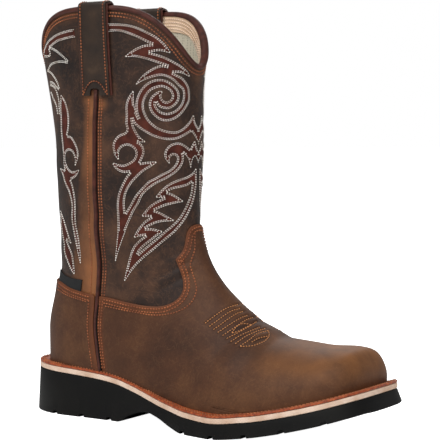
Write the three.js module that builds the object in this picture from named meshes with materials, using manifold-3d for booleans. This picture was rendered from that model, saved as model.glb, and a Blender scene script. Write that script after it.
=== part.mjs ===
// A right-foot western work boot that pulls on: a lugged unit sole, a midsole, a stitched
// welt, an insole, a hollow leather upper, a vamp and a heel counter laid over its foot,
// piping down both side seams, a rolled binding round the scalloped top, two pull loops
// and a woven side label.
// Frame: +X towards the toe, +Y towards the inner side of the foot, +Z up, in millimetres.
// While the boot is laid out, x runs from the back of the sole and z from the floor. At the
// end the whole group is moved so that its origin is under the middle of its bounding box.
import * as THREE from 'three';
import { mergeVertices } from 'three/addons/utils/BufferGeometryUtils.js';
import Module from 'manifold-3d';

const wasm = await Module();
wasm.setup();

// Sole sizes.
const SOLE_LENGTH = 306;
const BALL_WIDTH = 120;
const HEEL_HEIGHT = 34.8;
const FOREPART_THICKNESS = 11;
const TOE_SPRING = 23;
const ARCH_RISE = 11;
const SIDE_FLARE = 1.8;
const TOE_RAKE = 1.6;
const MIDSOLE_THICKNESS = 4;
const WELT_THICKNESS = 3;
const WELT_MARGIN = 6.5;
const INSOLE_THICKNESS = 4;
const LUG_DEPTH = 2.8;
const LUG_GROOVE = 5;
const LUG_PITCH = 29;
const TREAD_CHANNEL = 26;

// Upper sizes. The instep's height is measured from the sole under it.
const INSTEP_HEIGHT = 112;
const SHAFT_HEIGHT = 280;
const SHAFT_DEPTH = 138;
const SHAFT_WIDTH = 84;
const SEAM_SETBACK = 82;
const INNER_SEAM_BACK = 6;
const FRONT_DIP = 58;
const BACK_DIP = 46;

// Leather thicknesses and trims, and the gap that pieces keep where they meet.
const UPPER_WALL = 2.4;
const OVERLAY_THICKNESS = 1.7;
const PIPING_WIDTH = 3.6;
const PIPING_THICKNESS = 2.6;
const BINDING_WIDTH = 4.5;
const BINDING_THICKNESS = 1.2;
const LOOP_WIDTH = 28;
const LOOP_THICKNESS = 2.2;
const LOOP_CROWN = 1.2;
const LOOP_LENGTH = 72;
const LABEL_LENGTH = 27;
const LABEL_HEIGHT = 9;
const LABEL_THICKNESS = 0.8;
const GAP = 0.3;

const rowsOf = (columns, rows) =>
  rows.map((row) => Object.fromEntries(columns.map((column, i) => [column, row[i]])));

// The value of one column at a place between a table's rows, on a curve through all of them
// that never swings past a row.
function valueAt(rows, column, key, place) {
  const last = rows.length - 1;
  const rise = (i) => (rows[i + 1][column] - rows[i][column]) / (rows[i + 1][key] - rows[i][key]);
  const slope = (i) => {
    if (i === 0) return rise(0);
    if (i === last) return rise(last - 1);
    const [before, after] = [rise(i - 1), rise(i)];
    return before * after <= 0 ? 0 : (2 * before * after) / (before + after);
  };
  if (place <= rows[0][key]) return rows[0][column];
  if (place >= rows[last][key]) return rows[last][column];
  let i = 0;
  while (rows[i + 1][key] < place) i++;
  const step = rows[i + 1][key] - rows[i][key];
  const t = (place - rows[i][key]) / step;
  return (
    rows[i][column] * (1 + 2 * t) * (1 - t) ** 2 +
    slope(i) * step * t * (1 - t) ** 2 +
    rows[i + 1][column] * t * t * (3 - 2 * t) +
    slope(i + 1) * step * t * t * (t - 1)
  );
}

// The sole seen from below: half widths beside its long axis, as shares of the ball's width.
const OUTLINE = rowsOf(
  ['at', 'lateral', 'medial'],
  [
    [0.0, 0.27, 0.285],
    [0.12, 0.28, 0.296],
    [0.26, 0.294, 0.296],
    [0.38, 0.33, 0.29],
    [0.48, 0.405, 0.31],
    [0.58, 0.485, 0.36],
    [0.67, 0.53, 0.42],
    [0.75, 0.535, 0.46],
    [0.83, 0.505, 0.47],
    [0.91, 0.46, 0.45],
    [1.0, 0.4, 0.38],
  ],
);
const HEEL_ROUND = 45;
const TOE_ROUND = 46;
const HEEL_SQUARENESS = 2.05;
const TOE_SQUARENESS = { lateral: 3.1, medial: 3.7 };

// How much of its full width the sole keeps near an end, from 0 at the tip to 1.
const roundedEnd = (fromTip, depth, squareness) =>
  fromTip >= depth
    ? 1
    : (1 - (1 - Math.max(fromTip, 0) / depth) ** squareness) ** (1 / squareness);

function soleHalfWidth(x, side) {
  return (
    valueAt(OUTLINE, side, 'at', x / SOLE_LENGTH) *
    BALL_WIDTH *
    roundedEnd(x, HEEL_ROUND, HEEL_SQUARENESS) *
    roundedEnd(SOLE_LENGTH - x, TOE_ROUND, TOE_SQUARENESS[side])
  );
}

// The sole seen from the side: heights of the tread and of the top of the unit sole. Rise is
// a share of the arch or the toe spring, drop a share of the step from heel to forepart.
const PROFILE = rowsOf(
  ['at', 'arch', 'spring', 'drop'],
  [
    [0.0, 0, 0, 0],
    [0.1, 0, 0, 0.04],
    [0.25, 0, 0, 0.16],
    [0.32, 0, 0, 0.28],
    [0.345, 0.42, 0, 0.36],
    [0.38, 0.8, 0, 0.48],
    [0.42, 1, 0, 0.62],
    [0.46, 0.8, 0, 0.74],
    [0.51, 0.3, 0, 0.86],
    [0.555, 0, 0, 0.95],
    [0.635, 0, 0, 1.0],
    [0.74, 0, 0.16, 1.0],
    [0.82, 0, 0.36, 1.0],
    [0.91, 0, 0.65, 1.0],
    [1.0, 0, 1.0, 1.0],
  ],
);
const treadAt = (x) =>
  ARCH_RISE * valueAt(PROFILE, 'arch', 'at', x / SOLE_LENGTH) +
  TOE_SPRING * valueAt(PROFILE, 'spring', 'at', x / SOLE_LENGTH);
const soleTopAt = (x) =>
  HEEL_HEIGHT +
  (FOREPART_THICKNESS - HEEL_HEIGHT) * valueAt(PROFILE, 'drop', 'at', x / SOLE_LENGTH) +
  TOE_SPRING * valueAt(PROFILE, 'spring', 'at', x / SOLE_LENGTH);
const midsoleBottomAt = (x) => soleTopAt(x) + GAP;
const midsoleTopAt = (x) => midsoleBottomAt(x) + MIDSOLE_THICKNESS;
const featherAt = (x) => midsoleTopAt(x) + GAP;

// Stations along the sole, closer together at its rounded ends.
const SOLE_STATIONS = 31;
const EVEN_SHARE = 0.15;
const stationsBetween = (from, to, count) =>
  Array.from({ length: count + 1 }, (_, i) => {
    const even = i / count;
    const eased = (1 - Math.cos(Math.PI * even)) / 2;
    return from + (to - from) * (EVEN_SHARE * even + (1 - EVEN_SHARE) * eased);
  });

// The sole's outline as a closed ring: the outer side from heel to toe, then the inner side.
function soleRing(outsetAt) {
  const xs = stationsBetween(0, SOLE_LENGTH, SOLE_STATIONS);
  const ring = [
    ...xs.map((x) => new THREE.Vector2(x, -soleHalfWidth(x, 'lateral'))),
    ...xs.slice(1, -1).reverse().map((x) => new THREE.Vector2(x, soleHalfWidth(x, 'medial'))),
  ];
  return ring.map((point, i) => {
    const before = ring[(i + ring.length - 1) % ring.length];
    const after = ring[(i + 1) % ring.length];
    const along = after.clone().sub(before).normalize();
    const outset = outsetAt(point.x);
    return new THREE.Vector2(point.x + along.y * outset, point.y - along.x * outset);
  });
}

// A closed mesh from rings of equal length, first ring and last ring capped across.
function meshOfRings(rings) {
  const count = rings[0].length;
  const half = count / 2;
  const positions = rings.flat().flatMap((p) => [p.x, p.y, p.z]);
  const index = [];
  for (let r = 0; r + 1 < rings.length; r++)
    for (let i = 0; i < count; i++) {
      const a = r * count + i;
      const b = r * count + ((i + 1) % count);
      index.push(a, b, b + count, a, b + count, a + count);
    }
  const cap = (start, flip) => {
    for (let i = 0; i < half; i++) {
      const a = start + i;
      const b = start + i + 1;
      const c = start + ((count - i - 1) % count);
      const d = start + ((count - i) % count);
      const faces = [[a, c, b], [a, d, c]];
      for (const [p, q, s] of faces)
        if (p !== q && q !== s && p !== s) index.push(...(flip ? [p, s, q] : [p, q, s]));
    }
  };
  cap(0, false);
  cap((rings.length - 1) * count, true);
  const geometry = new THREE.BufferGeometry();
  geometry.setAttribute('position', new THREE.Float32BufferAttribute(positions, 3));
  geometry.setIndex(index);
  return geometry;
}

// Solids for joining and cutting, and back to three.js geometry.
const MERGE_DISTANCE = 1e-4;
function solidOf(geometry) {
  const bare = geometry.index ? geometry.toNonIndexed() : geometry.clone();
  bare.deleteAttribute('normal');
  bare.deleteAttribute('uv');
  const merged = mergeVertices(bare, MERGE_DISTANCE);
  return new wasm.Manifold(
    new wasm.Mesh({
      numProp: 3,
      vertProperties: merged.attributes.position.array,
      triVerts: new Uint32Array(merged.index.array),
    }),
  );
}
function geometryOf(solid) {
  const mesh = solid.getMesh();
  const geometry = new THREE.BufferGeometry();
  geometry.setAttribute('position', new THREE.Float32BufferAttribute(mesh.vertProperties, 3));
  geometry.setIndex(new THREE.BufferAttribute(mesh.triVerts, 1));
  return geometry;
}

// A prism along Y whose outline is a list of side-view points, x and z.
function sidePrism(points, fromY, toY) {
  const shape = new THREE.Shape(points.map(([x, z]) => new THREE.Vector2(x, z)));
  const geometry = new THREE.ExtrudeGeometry(shape, { depth: toY - fromY, bevelEnabled: false });
  geometry.rotateX(Math.PI / 2);
  geometry.translate(0, toY, 0);
  return solidOf(geometry);
}

// A layer of the sole: its outline between two heights that depend on x.
function soleLayer(bottomAt, topAt, bottomOutsetAt = () => 0) {
  const bottom = soleRing(bottomOutsetAt).map((p) => new THREE.Vector3(p.x, p.y, bottomAt(p.x)));
  const top = soleRing(() => 0).map((p) => new THREE.Vector3(p.x, p.y, topAt(p.x)));
  return solidOf(meshOfRings([bottom, top]));
}

// The upper is a hollow form lofted through sections. Each section is a plane across the boot
// between a front point, on the vamp or the shaft's front, and a back point, under the foot
// or on the back of the heel. Sections of the foot start under the toe and lean back until
// they lie flat in the shaft.
// Foot sections: x as shares of the upper's length; heights above the feather line as shares
// of the instep's height; half widths as shares of the ball's width; where the section is
// widest, from its front to its back; and how square it is in front and behind.
const COVER = UPPER_WALL + GAP + OVERLAY_THICKNESS;
const LAST_BACK = WELT_MARGIN + COVER;
const LAST_LENGTH = SOLE_LENGTH - 2 * LAST_BACK;
const FOOT_SECTIONS = rowsOf(
  ['frontX', 'frontRise', 'backX', 'backRise', 'lateral', 'medial', 'widest', 'fore', 'aft', 'lean'],
  [
    [0.986, -0.13, 0.86, -0.16, 0.355, 0.35, 0.9, 3.1, 6, 0.01],
    [0.995, 0.0, 0.852, -0.165, 0.363, 0.356, 0.86, 3.1, 6, 0.01],
    [0.9965, 0.1, 0.846, -0.17, 0.37, 0.36, 0.8, 3.0, 6, 0.01],
    [0.989, 0.18, 0.84, -0.18, 0.378, 0.366, 0.74, 2.8, 6, 0.01],
    [0.972, 0.245, 0.835, -0.19, 0.386, 0.372, 0.7, 2.6, 6, 0.01],
    [0.938, 0.28, 0.82, -0.2, 0.398, 0.38, 0.69, 2.45, 6, 0.01],
    [0.885, 0.31, 0.79, -0.21, 0.415, 0.385, 0.69, 2.35, 6, 0.012],
    [0.82, 0.36, 0.74, -0.22, 0.435, 0.38, 0.7, 2.2, 6, 0.016],
    [0.755, 0.41, 0.68, -0.23, 0.44, 0.352, 0.72, 2.1, 5, 0.02],
    [0.7, 0.492, 0.6, -0.24, 0.42, 0.312, 0.74, 2.0, 4, 0.02],
    [0.645, 0.588, 0.48, -0.25, 0.36, 0.27, 0.75, 1.95, 3.4, 0.012],
    [0.59, 0.69, 0.35, -0.26, 0.292, 0.245, 0.72, 1.95, 3, 0.006],
    [0.545, 0.795, 0.2, -0.27, 0.255, 0.235, 0.68, 1.95, 2.8, 0],
    [0.51, 0.905, 0.06, -0.23, 0.242, 0.235, 0.64, 1.95, 2.5, 0],
    [0.488, 1.02, 0.013, -0.03, 0.243, 0.238, 0.62, 1.95, 2.2, 0],
    [0.474, 1.14, 0.012, 0.22, 0.252, 0.248, 0.6, 2.0, 2.1, 0],
    [0.472, 1.28, 0.036, 0.52, 0.27, 0.268, 0.57, 2.0, 2.0, 0],
    [0.476, 1.43, 0.052, 0.83, 0.292, 0.29, 0.545, 2.0, 2.0, 0],
    [0.477, 1.58, 0.044, 1.14, 0.308, 0.308, 0.53, 2.0, 2.0, 0],
  ],
);
// Shaft sections, flat: height as a share of the shaft's, depth ahead of the seam and behind
// it as shares of the shaft's depth, width as a share of the shaft's.
const SHAFT_SECTIONS = rowsOf(
  ['height', 'ahead', 'behind', 'width', 'fore', 'aft'],
  [
    [0.63, 0.47, 0.438, 0.9, 2.0, 2.0],
    [0.72, 0.47, 0.46, 0.93, 2.0, 2.0],
    [0.8, 0.476, 0.49, 0.96, 2.0, 2.0],
    [0.88, 0.492, 0.517, 0.985, 2.0, 2.0],
    [0.98, 0.5, 0.522, 1.0, 2.0, 2.0],
    [1.08, 0.5, 0.527, 1.0, 2.0, 2.0],
  ],
);

const seamX = SEAM_SETBACK;
const heelSeatZ = featherAt(WELT_MARGIN);
const sections = [
  ...FOOT_SECTIONS.map((row) => {
    const frontX = LAST_BACK + row.frontX * LAST_LENGTH;
    const backX = LAST_BACK + row.backX * LAST_LENGTH;
    return {
      frontX,
      frontZ: featherAt(frontX) + row.frontRise * INSTEP_HEIGHT,
      backX,
      backZ: featherAt(backX) + row.backRise * INSTEP_HEIGHT,
      lateral: row.lateral * BALL_WIDTH,
      medial: row.medial * BALL_WIDTH,
      widest: row.widest,
      fore: row.fore,
      aft: row.aft,
      middle: row.lean * BALL_WIDTH,
    };
  }),
  ...SHAFT_SECTIONS.map((row) => ({
    frontX: seamX + row.ahead * SHAFT_DEPTH,
    frontZ: heelSeatZ + row.height * SHAFT_HEIGHT,
    backX: seamX - row.behind * SHAFT_DEPTH,
    backZ: heelSeatZ + row.height * SHAFT_HEIGHT,
    lateral: (row.width * SHAFT_WIDTH) / 2,
    medial: (row.width * SHAFT_WIDTH) / 2,
    widest: row.ahead / (row.ahead + row.behind),
    fore: row.fore,
    aft: row.aft,
    middle: 0,
  })),
];
// Each section's place along the boot: the further of the ways run by its front and back points.
sections.forEach((row, i) => {
  const before = sections[i - 1];
  row.place = before
    ? before.place +
      Math.max(
        Math.hypot(row.frontX - before.frontX, row.frontZ - before.frontZ),
        Math.hypot(row.backX - before.backX, row.backZ - before.backZ),
      )
    : 0;
});
const SECTION_VALUES = ['frontX', 'frontZ', 'backX', 'backZ', 'lateral', 'medial', 'widest', 'fore', 'aft', 'middle'];
const sectionAt = (place) =>
  Object.fromEntries(SECTION_VALUES.map((name) => [name, valueAt(sections, name, 'place', place)]));

// One side of a section, from its front point to its back point, evenly spaced.
const CURVE_STEPS = 40;
function halfSection(section, side, count) {
  const sign = side === 'lateral' ? -1 : 1;
  const curve = [];
  for (let k = 0; k <= 2 * CURVE_STEPS; k++) {
    const angle = (Math.PI * k) / (2 * CURVE_STEPS);
    const front = k <= CURVE_STEPS;
    const power = 2 / (front ? section.fore : section.aft);
    const reach = Math.abs(Math.cos(angle)) ** power;
    const along = front ? section.widest * (1 - reach) : section.widest + (1 - section.widest) * reach;
    const out = Math.abs(Math.sin(angle)) ** power;
    curve.push(
      new THREE.Vector3(
        section.frontX + (section.backX - section.frontX) * along,
        section.middle + sign * section[side] * out,
        section.frontZ + (section.backZ - section.frontZ) * along,
      ),
    );
  }
  const run = [0];
  for (let k = 1; k < curve.length; k++) run.push(run[k - 1] + curve[k].distanceTo(curve[k - 1]));
  const total = run[run.length - 1];
  const points = [];
  let k = 0;
  for (let i = 0; i <= count; i++) {
    const goal = (total * i) / count;
    while (k < run.length - 2 && run[k + 1] < goal) k++;
    const t = (goal - run[k]) / (run[k + 1] - run[k] || 1);
    points.push(curve[k].clone().lerp(curve[k + 1], t));
  }
  return points;
}

const RING_HALF = 14;
function sectionRing(place) {
  const section = sectionAt(place);
  const lateral = halfSection(section, 'lateral', RING_HALF);
  const medial = halfSection(section, 'medial', RING_HALF);
  return [...medial, ...lateral.slice(1, -1).reverse()];
}

// The whole form, grown outwards by a distance from the face of the last. Its rings lie on
// the sections and between them, closer together on the foot than on the shaft.
const FOOT_STEP = 21;
const SHAFT_STEP = 44;
const ringPlaces = sections.flatMap((row, i) => {
  if (i === 0) return [0];
  const from = sections[i - 1].place;
  const steps = Math.ceil((row.place - from) / (i < FOOT_SECTIONS.length ? FOOT_STEP : SHAFT_STEP));
  return Array.from({ length: steps }, (_, k) => from + ((row.place - from) * (k + 1)) / steps);
});
const formRings = ringPlaces.map(sectionRing);
function form(growth) {
  const top = formRings.length - 1;
  const grown = formRings.map((ring, r) =>
    ring.map((point, i) => {
      const along = formRings[Math.min(r + 1, top)][i].clone().sub(formRings[Math.max(r - 1, 0)][i]);
      const around = ring[(i + 1) % ring.length].clone().sub(ring[(i + ring.length - 1) % ring.length]);
      return point.clone().addScaledVector(around.cross(along).normalize(), growth);
    }),
  );
  return solidOf(meshOfRings(grown));
}

// Cutting prisms reach past everything. The one under the feather line ends just past the sole.
const FAR = 2 * (SOLE_LENGTH + SHAFT_HEIGHT);
const PAST_SOLE = 20;
const featherXs = stationsBetween(-PAST_SOLE, SOLE_LENGTH + PAST_SOLE, SOLE_STATIONS);
const underFeather = sidePrism(
  [
    [-PAST_SOLE, -FAR],
    [SOLE_LENGTH + PAST_SOLE, -FAR],
    ...featherXs.slice().reverse().map((x) => [x, featherAt(x)]),
  ],
  -FAR,
  FAR,
);

// The scalloped top line: highest at the side seams, dipping in front and behind. It is laid
// out on the shaft's unrolled surface, where a line beside it keeps its distance all round.
const topZ = heelSeatZ + SHAFT_HEIGHT;
const collarRow = SHAFT_SECTIONS[SHAFT_SECTIONS.length - 2];
const SCALLOP_SQUARENESS = 3.4;
const SCALLOP_SWEEP = 0.97;
const SCALLOP_STEPS = 8;
const SCALLOP_CROWDING = 0.8;
const scallopDrop = (reach) => 1 - Math.sqrt(1 - SCALLOP_SWEEP * reach ** SCALLOP_SQUARENESS);
function quarterOfCollar(sign) {
  const reach = SHAFT_DEPTH * (sign > 0 ? collarRow.ahead : collarRow.behind);
  const dip = sign > 0 ? FRONT_DIP : BACK_DIP;
  const points = [];
  for (let k = 0; k <= SCALLOP_STEPS; k++) {
    const angle = (Math.PI / 2) * (k / SCALLOP_STEPS) ** SCALLOP_CROWDING;
    const point = {
      x: seamX + sign * reach * Math.sin(angle),
      y: (SHAFT_WIDTH / 2) * Math.cos(angle),
      z: topZ - (dip * scallopDrop(Math.sin(angle))) / scallopDrop(1),
      run: 0,
    };
    const before = points[k - 1];
    if (before) point.run = before.run + Math.hypot(point.x - before.x, point.y - before.y);
    points.push(point);
  }
  return points;
}
// The side view of the line that lies a distance above (or, if negative, below) the top line.
function collarLine(above) {
  const quarter = (sign) => {
    const points = quarterOfCollar(sign);
    const end = points[points.length - 1];
    const beside = points.slice(1, -1).map((point, k) => {
      const [before, after] = [points[k], points[k + 2]];
      const slope = (after.z - before.z) / (after.run - before.run);
      const tilt = Math.hypot(1, slope);
      return { run: point.run - (above * slope) / tilt, z: point.z + above / tilt };
    });
    const xAt = (run) => {
      let j = 0;
      while (j < points.length - 2 && points[j + 1].run < run) j++;
      const share = (run - points[j].run) / (points[j + 1].run - points[j].run);
      return points[j].x + (points[j + 1].x - points[j].x) * share;
    };
    return [
      [points[0].x, points[0].z + above],
      ...beside.filter((p) => p.run > 0 && p.run < end.run).map((p) => [xAt(p.run), p.z]),
      [end.x, end.z + above],
    ];
  };
  const line = [...quarter(-1).reverse(), ...quarter(1).slice(1)];
  return [[-FAR, line[0][1]], ...line, [FAR, line[line.length - 1][1]]];
}
const underCollar = (above) =>
  sidePrism([...collarLine(above).reverse(), [-FAR, -FAR], [FAR, -FAR]], -FAR, FAR);

// The upper's wall, from the last's face outwards, and the room that its edges leave.
const last = form(0);
const wallFace = form(UPPER_WALL);
const clearFace = form(UPPER_WALL + GAP);
const coverFace = form(COVER);
const upper = wallFace.subtract(last).subtract(underFeather).intersect(underCollar(0));

// The side seam, seen from the side: its distance from the back of the sole, as shares of the
// seam's setback, by heights as shares of the shaft's.
const SEAM_LINE = rowsOf(
  ['height', 'back'],
  [
    [0.0, 0.95],
    [0.06, 0.915],
    [0.12, 0.895],
    [0.18, 0.915],
    [0.3, 0.96],
    [0.5, 0.972],
    [0.68, 0.995],
    [0.76, 1.02],
    [1.0, 1.025],
  ],
);
const seamAt = (z, side) =>
  SEAM_SETBACK * valueAt(SEAM_LINE, 'back', 'height', (z - heelSeatZ) / SHAFT_HEIGHT) - side.back;
// The inner side's seam lies further back than the outer side's.
const OUTER = { sign: -1, back: 0, fromY: -FAR, toY: 0 };
const INNER = { sign: 1, back: INNER_SEAM_BACK, fromY: 0, toY: FAR };
const SEAM_STEPS = 14;
const seamHeights = (from, to) => {
  const low = heelSeatZ;
  const high = heelSeatZ + SHAFT_HEIGHT;
  const inside = Array.from({ length: SEAM_STEPS + 1 }, (_, i) => low + ((high - low) * i) / SEAM_STEPS);
  const between = inside.filter((z) => z > Math.min(from, to) && z < Math.max(from, to));
  return from < to ? [from, ...between, to] : [from, ...between.reverse(), to];
};
function seamBand(halfWidth, fromZ, toZ, side) {
  return sidePrism(
    [
      ...seamHeights(fromZ, toZ).map((z) => [seamAt(z, side) + halfWidth, z]),
      ...seamHeights(toZ, fromZ).map((z) => [seamAt(z, side) - halfWidth, z]),
    ],
    side.fromY,
    side.toY,
  );
}

// The upper edge of the vamp and the counter, seen from the side, from behind to the notch
// and from the notch up the tongue. Shares of the last's length and of the instep's height.
const PANEL_EDGE = rowsOf(
  ['at', 'height'],
  [
    [0.0, 0.625],
    [0.071, 0.595],
    [0.173, 0.534],
    [0.261, 0.503],
    [0.384, 0.457],
    [0.441, 0.468],
    [0.4775, 0.546],
    [0.474, 0.66],
    [0.451, 0.773],
  ],
);
const TONGUE_EDGE = rowsOf(
  ['at', 'height'],
  [
    [0.451, 0.773],
    [0.466, 0.858],
    [0.472, 0.955],
    [0.486, 1.008],
  ],
);
const EDGE_STEPS = 5;
function edgeLine(rows, raise) {
  const points = rows.map(
    (row) =>
      new THREE.Vector2(LAST_BACK + row.at * LAST_LENGTH, heelSeatZ + row.height * INSTEP_HEIGHT + raise),
  );
  return new THREE.SplineCurve(points).getPoints((rows.length - 1) * EDGE_STEPS).map((p) => [p.x, p.y]);
}
function underPanels(raise) {
  const edge = [...edgeLine(PANEL_EDGE, raise), ...edgeLine(TONGUE_EDGE, raise).slice(1)];
  return sidePrism(
    [
      [FAR, -FAR],
      [FAR, edge[edge.length - 1][1]],
      ...edge.slice().reverse(),
      [-FAR, edge[0][1]],
      [-FAR, -FAR],
    ].reverse(),
    -FAR,
    FAR,
  );
}

// The vamp and the counter lie on the wall as a second layer, parted at the side seams.
const panels = coverFace.subtract(clearFace).subtract(underFeather).intersect(underPanels(0));
const seamRoom = (side) => seamBand(PIPING_WIDTH / 2 + GAP, -FAR, FAR, side);
const inFrontOfSeam = (side) =>
  sidePrism(
    [
      [seamAt(-FAR, side), -FAR],
      [FAR, -FAR],
      [FAR, FAR],
      ...seamHeights(FAR, -FAR).map((z) => [seamAt(z, side), z]),
    ],
    side.fromY,
    side.toY,
  );
const seamedPanels = panels.subtract(seamRoom(OUTER)).subtract(seamRoom(INNER));
const front = inFrontOfSeam(OUTER).add(inFrontOfSeam(INNER));
const vamp = seamedPanels.intersect(front);
const counter = seamedPanels.subtract(front);

// Piping stands on the wall in the side seam, from the welt up to the foot of the pull loop.
const weltTop = (x) => featherAt(x) + WELT_THICKNESS;
const loopFootZ = topZ + GAP + BINDING_THICKNESS + LOOP_CROWN + LOOP_THICKNESS - LOOP_LENGTH;
const pipingFace = form(UPPER_WALL + GAP + PIPING_THICKNESS);
const pipingRun = pipingFace.subtract(clearFace);
const pipingFootZ = (side) => weltTop(seamAt(heelSeatZ, side) - PIPING_WIDTH) + GAP;
const sidePiping = (side) =>
  pipingRun.intersect(seamBand(PIPING_WIDTH / 2, pipingFootZ(side), loopFootZ - GAP, side));

// A binding is folded over the top edge, clear of both faces of the wall.
const bindingFace = form(UPPER_WALL + GAP + BINDING_THICKNESS);
const bindingLining = form(-GAP - BINDING_THICKNESS);
const wallRoom = clearFace.subtract(form(-GAP)).intersect(underCollar(GAP));
const binding = bindingFace
  .subtract(bindingLining)
  .intersect(underCollar(GAP + BINDING_THICKNESS))
  .subtract(underCollar(-BINDING_WIDTH))
  .subtract(wallRoom);

// Each pull loop is a strap folded over the top, down both faces of the wall.
const shaftHalfWidth = (z) =>
  (valueAt(SHAFT_SECTIONS, 'width', 'height', (z - heelSeatZ) / SHAFT_HEIGHT) * SHAFT_WIDTH) / 2;
const LOOP_STEPS = 5;
const LOOP_FOLD_STEPS = 6;
const LOOP_FOLD_SQUARENESS = 0.7;
function pullLoop(side) {
  const middleX = seamAt(topZ, side);
  const bindingFootZ = topZ - BINDING_WIDTH;
  const bindingTopZ = topZ + GAP + BINDING_THICKNESS;
  const legHeights = [
    ...Array.from({ length: LOOP_STEPS + 1 }, (_, i) => loopFootZ + ((bindingFootZ - loopFootZ) * i) / LOOP_STEPS),
    bindingTopZ,
  ];
  const reach = (LOOP_WIDTH / 2 + Math.abs(middleX - seamX)) / (SHAFT_DEPTH * SHAFT_SECTIONS[0].behind);
  const sagitta = (z) => shaftHalfWidth(z) * (1 - Math.sqrt(1 - reach ** 2)) + GAP;
  const rise = (z) =>
    Math.min((z - loopFootZ) / (bindingFootZ - loopFootZ), 1) * (BINDING_THICKNESS + GAP);
  const outer = legHeights.map((z) => [shaftHalfWidth(z) + UPPER_WALL + GAP + rise(z), z]);
  const inner = legHeights.map((z) => [shaftHalfWidth(z) - sagitta(z) - GAP - rise(z), z]);
  const [outerY] = outer[outer.length - 1];
  const [innerY] = inner[inner.length - 1];
  const crownY = (outerY + innerY) / 2;
  const half = (outerY - innerY) / 2;
  const fold = (grow) =>
    Array.from({ length: LOOP_FOLD_STEPS + 1 }, (_, i) => {
      const angle = (Math.PI * i) / LOOP_FOLD_STEPS;
      return [
        crownY + (half + grow) * Math.cos(angle),
        bindingTopZ + (LOOP_CROWN + grow) * Math.sin(angle) ** LOOP_FOLD_SQUARENESS,
      ];
    }).slice(1, -1);
  const outline = [
    ...outer.map(([y, z]) => [y + LOOP_THICKNESS, z]),
    ...fold(LOOP_THICKNESS),
    ...inner.slice().reverse().map(([y, z]) => [y - LOOP_THICKNESS, z]),
    ...inner,
    ...fold(0).reverse(),
    ...outer.slice().reverse(),
  ];
  const shape = new THREE.Shape(outline.map(([y, z]) => new THREE.Vector2(side.sign * y, z)));
  const geometry = new THREE.ExtrudeGeometry(shape, { depth: LOOP_WIDTH, bevelEnabled: false });
  geometry.rotateX(Math.PI / 2);
  geometry.rotateZ(Math.PI / 2);
  geometry.translate(middleX - LOOP_WIDTH / 2, 0, 0);
  return solidOf(geometry);
}

// The woven label lies on the outer side of the shaft, its foot along the counter's edge.
const LABEL_BACK = 0.088;
const LABEL_RISE = 0.6;
const LABEL_FALL = 0.24;
const labelX = LAST_BACK + LABEL_BACK * LAST_LENGTH;
const labelZ = heelSeatZ + LABEL_RISE * INSTEP_HEIGHT + LABEL_HEIGHT;
const labelFace = form(UPPER_WALL + GAP + LABEL_THICKNESS);
const label = labelFace
  .subtract(clearFace)
  .intersect(
    sidePrism(
      [
        [labelX, labelZ - 2 * LABEL_HEIGHT],
        [labelX + LABEL_LENGTH, labelZ - LABEL_FALL * LABEL_LENGTH - 2 * LABEL_HEIGHT],
        [labelX + LABEL_LENGTH, labelZ - LABEL_FALL * LABEL_LENGTH],
        [labelX, labelZ],
      ],
      -FAR,
      0,
    ),
  )
  .subtract(underPanels(GAP));

// The unit sole, with grooves across its edges and a channel between them in the forepart.
const flareAt = (x) => SIDE_FLARE + TOE_RAKE * valueAt(PROFILE, 'spring', 'at', x / SOLE_LENGTH);
const solidSole = soleLayer(treadAt, soleTopAt, flareAt);
const HEEL_GROOVES = [0.11, 0.2, 0.29];
const FORE_GROOVES_FROM = 0.555;
const FORE_GROOVES = 5;
const grooveXs = [
  ...HEEL_GROOVES.map((at) => at * SOLE_LENGTH),
  ...Array.from({ length: FORE_GROOVES }, (_, i) => FORE_GROOVES_FROM * SOLE_LENGTH + i * LUG_PITCH),
];
const outsole = grooveXs.reduce((sole, x) => {
  const z = treadAt(x);
  const slope = Math.atan2(treadAt(x + LUG_GROOVE) - treadAt(x - LUG_GROOVE), 2 * LUG_GROOVE);
  const groove = new THREE.BoxGeometry(LUG_GROOVE, BALL_WIDTH, 2 * LUG_DEPTH);
  groove.rotateY(-slope);
  const inset = TREAD_CHANNEL / 2 + BALL_WIDTH / 2;
  return [-1, 1].reduce(
    (cutSole, side) => cutSole.subtract(solidOf(groove.clone().translate(x, side * inset, z))),
    sole,
  );
}, solidSole);
const midsole = soleLayer(midsoleBottomAt, midsoleTopAt);
const weltRoom = form(COVER + GAP);
const welt = soleLayer(featherAt, weltTop).subtract(weltRoom);
const insole = soleLayer(featherAt, (x) => featherAt(x) + INSOLE_THICKNESS).intersect(form(-GAP));

const FINISHES = {
  rubber: { color: 0x1b1b1c, roughness: 0.75, metalness: 0 },
  midsole: { color: 0xd6b394, roughness: 0.7, metalness: 0 },
  welt: { color: 0x8a4a2a, roughness: 0.7, metalness: 0 },
  shaft: { color: 0x46332b, roughness: 0.6, metalness: 0 },
  foot: { color: 0x5f4331, roughness: 0.65, metalness: 0 },
  trim: { color: 0x5a3b38, roughness: 0.55, metalness: 0 },
  strap: { color: 0x44362b, roughness: 0.6, metalness: 0 },
  lining: { color: 0xb5ab95, roughness: 0.9, metalness: 0 },
  label: { color: 0x16181a, roughness: 0.8, metalness: 0 },
};
const boot = new THREE.Group();
function add(name, solid, finish) {
  const mesh = new THREE.Mesh(geometryOf(solid), new THREE.MeshStandardMaterial(FINISHES[finish]));
  mesh.name = name;
  boot.add(mesh);
}
add('outsole', outsole, 'rubber');
add('midsole', midsole, 'midsole');
add('welt', welt, 'welt');
add('insole', insole, 'lining');
add('upper', upper, 'shaft');
add('vamp', vamp, 'foot');
add('heel_counter', counter, 'foot');
add('side_piping_outer', sidePiping(OUTER), 'trim');
add('side_piping_inner', sidePiping(INNER), 'trim');
add('top_binding', binding, 'trim');
add('pull_loop_outer', pullLoop(OUTER), 'strap');
add('pull_loop_inner', pullLoop(INNER), 'strap');
add('side_label', label, 'label');

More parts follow.
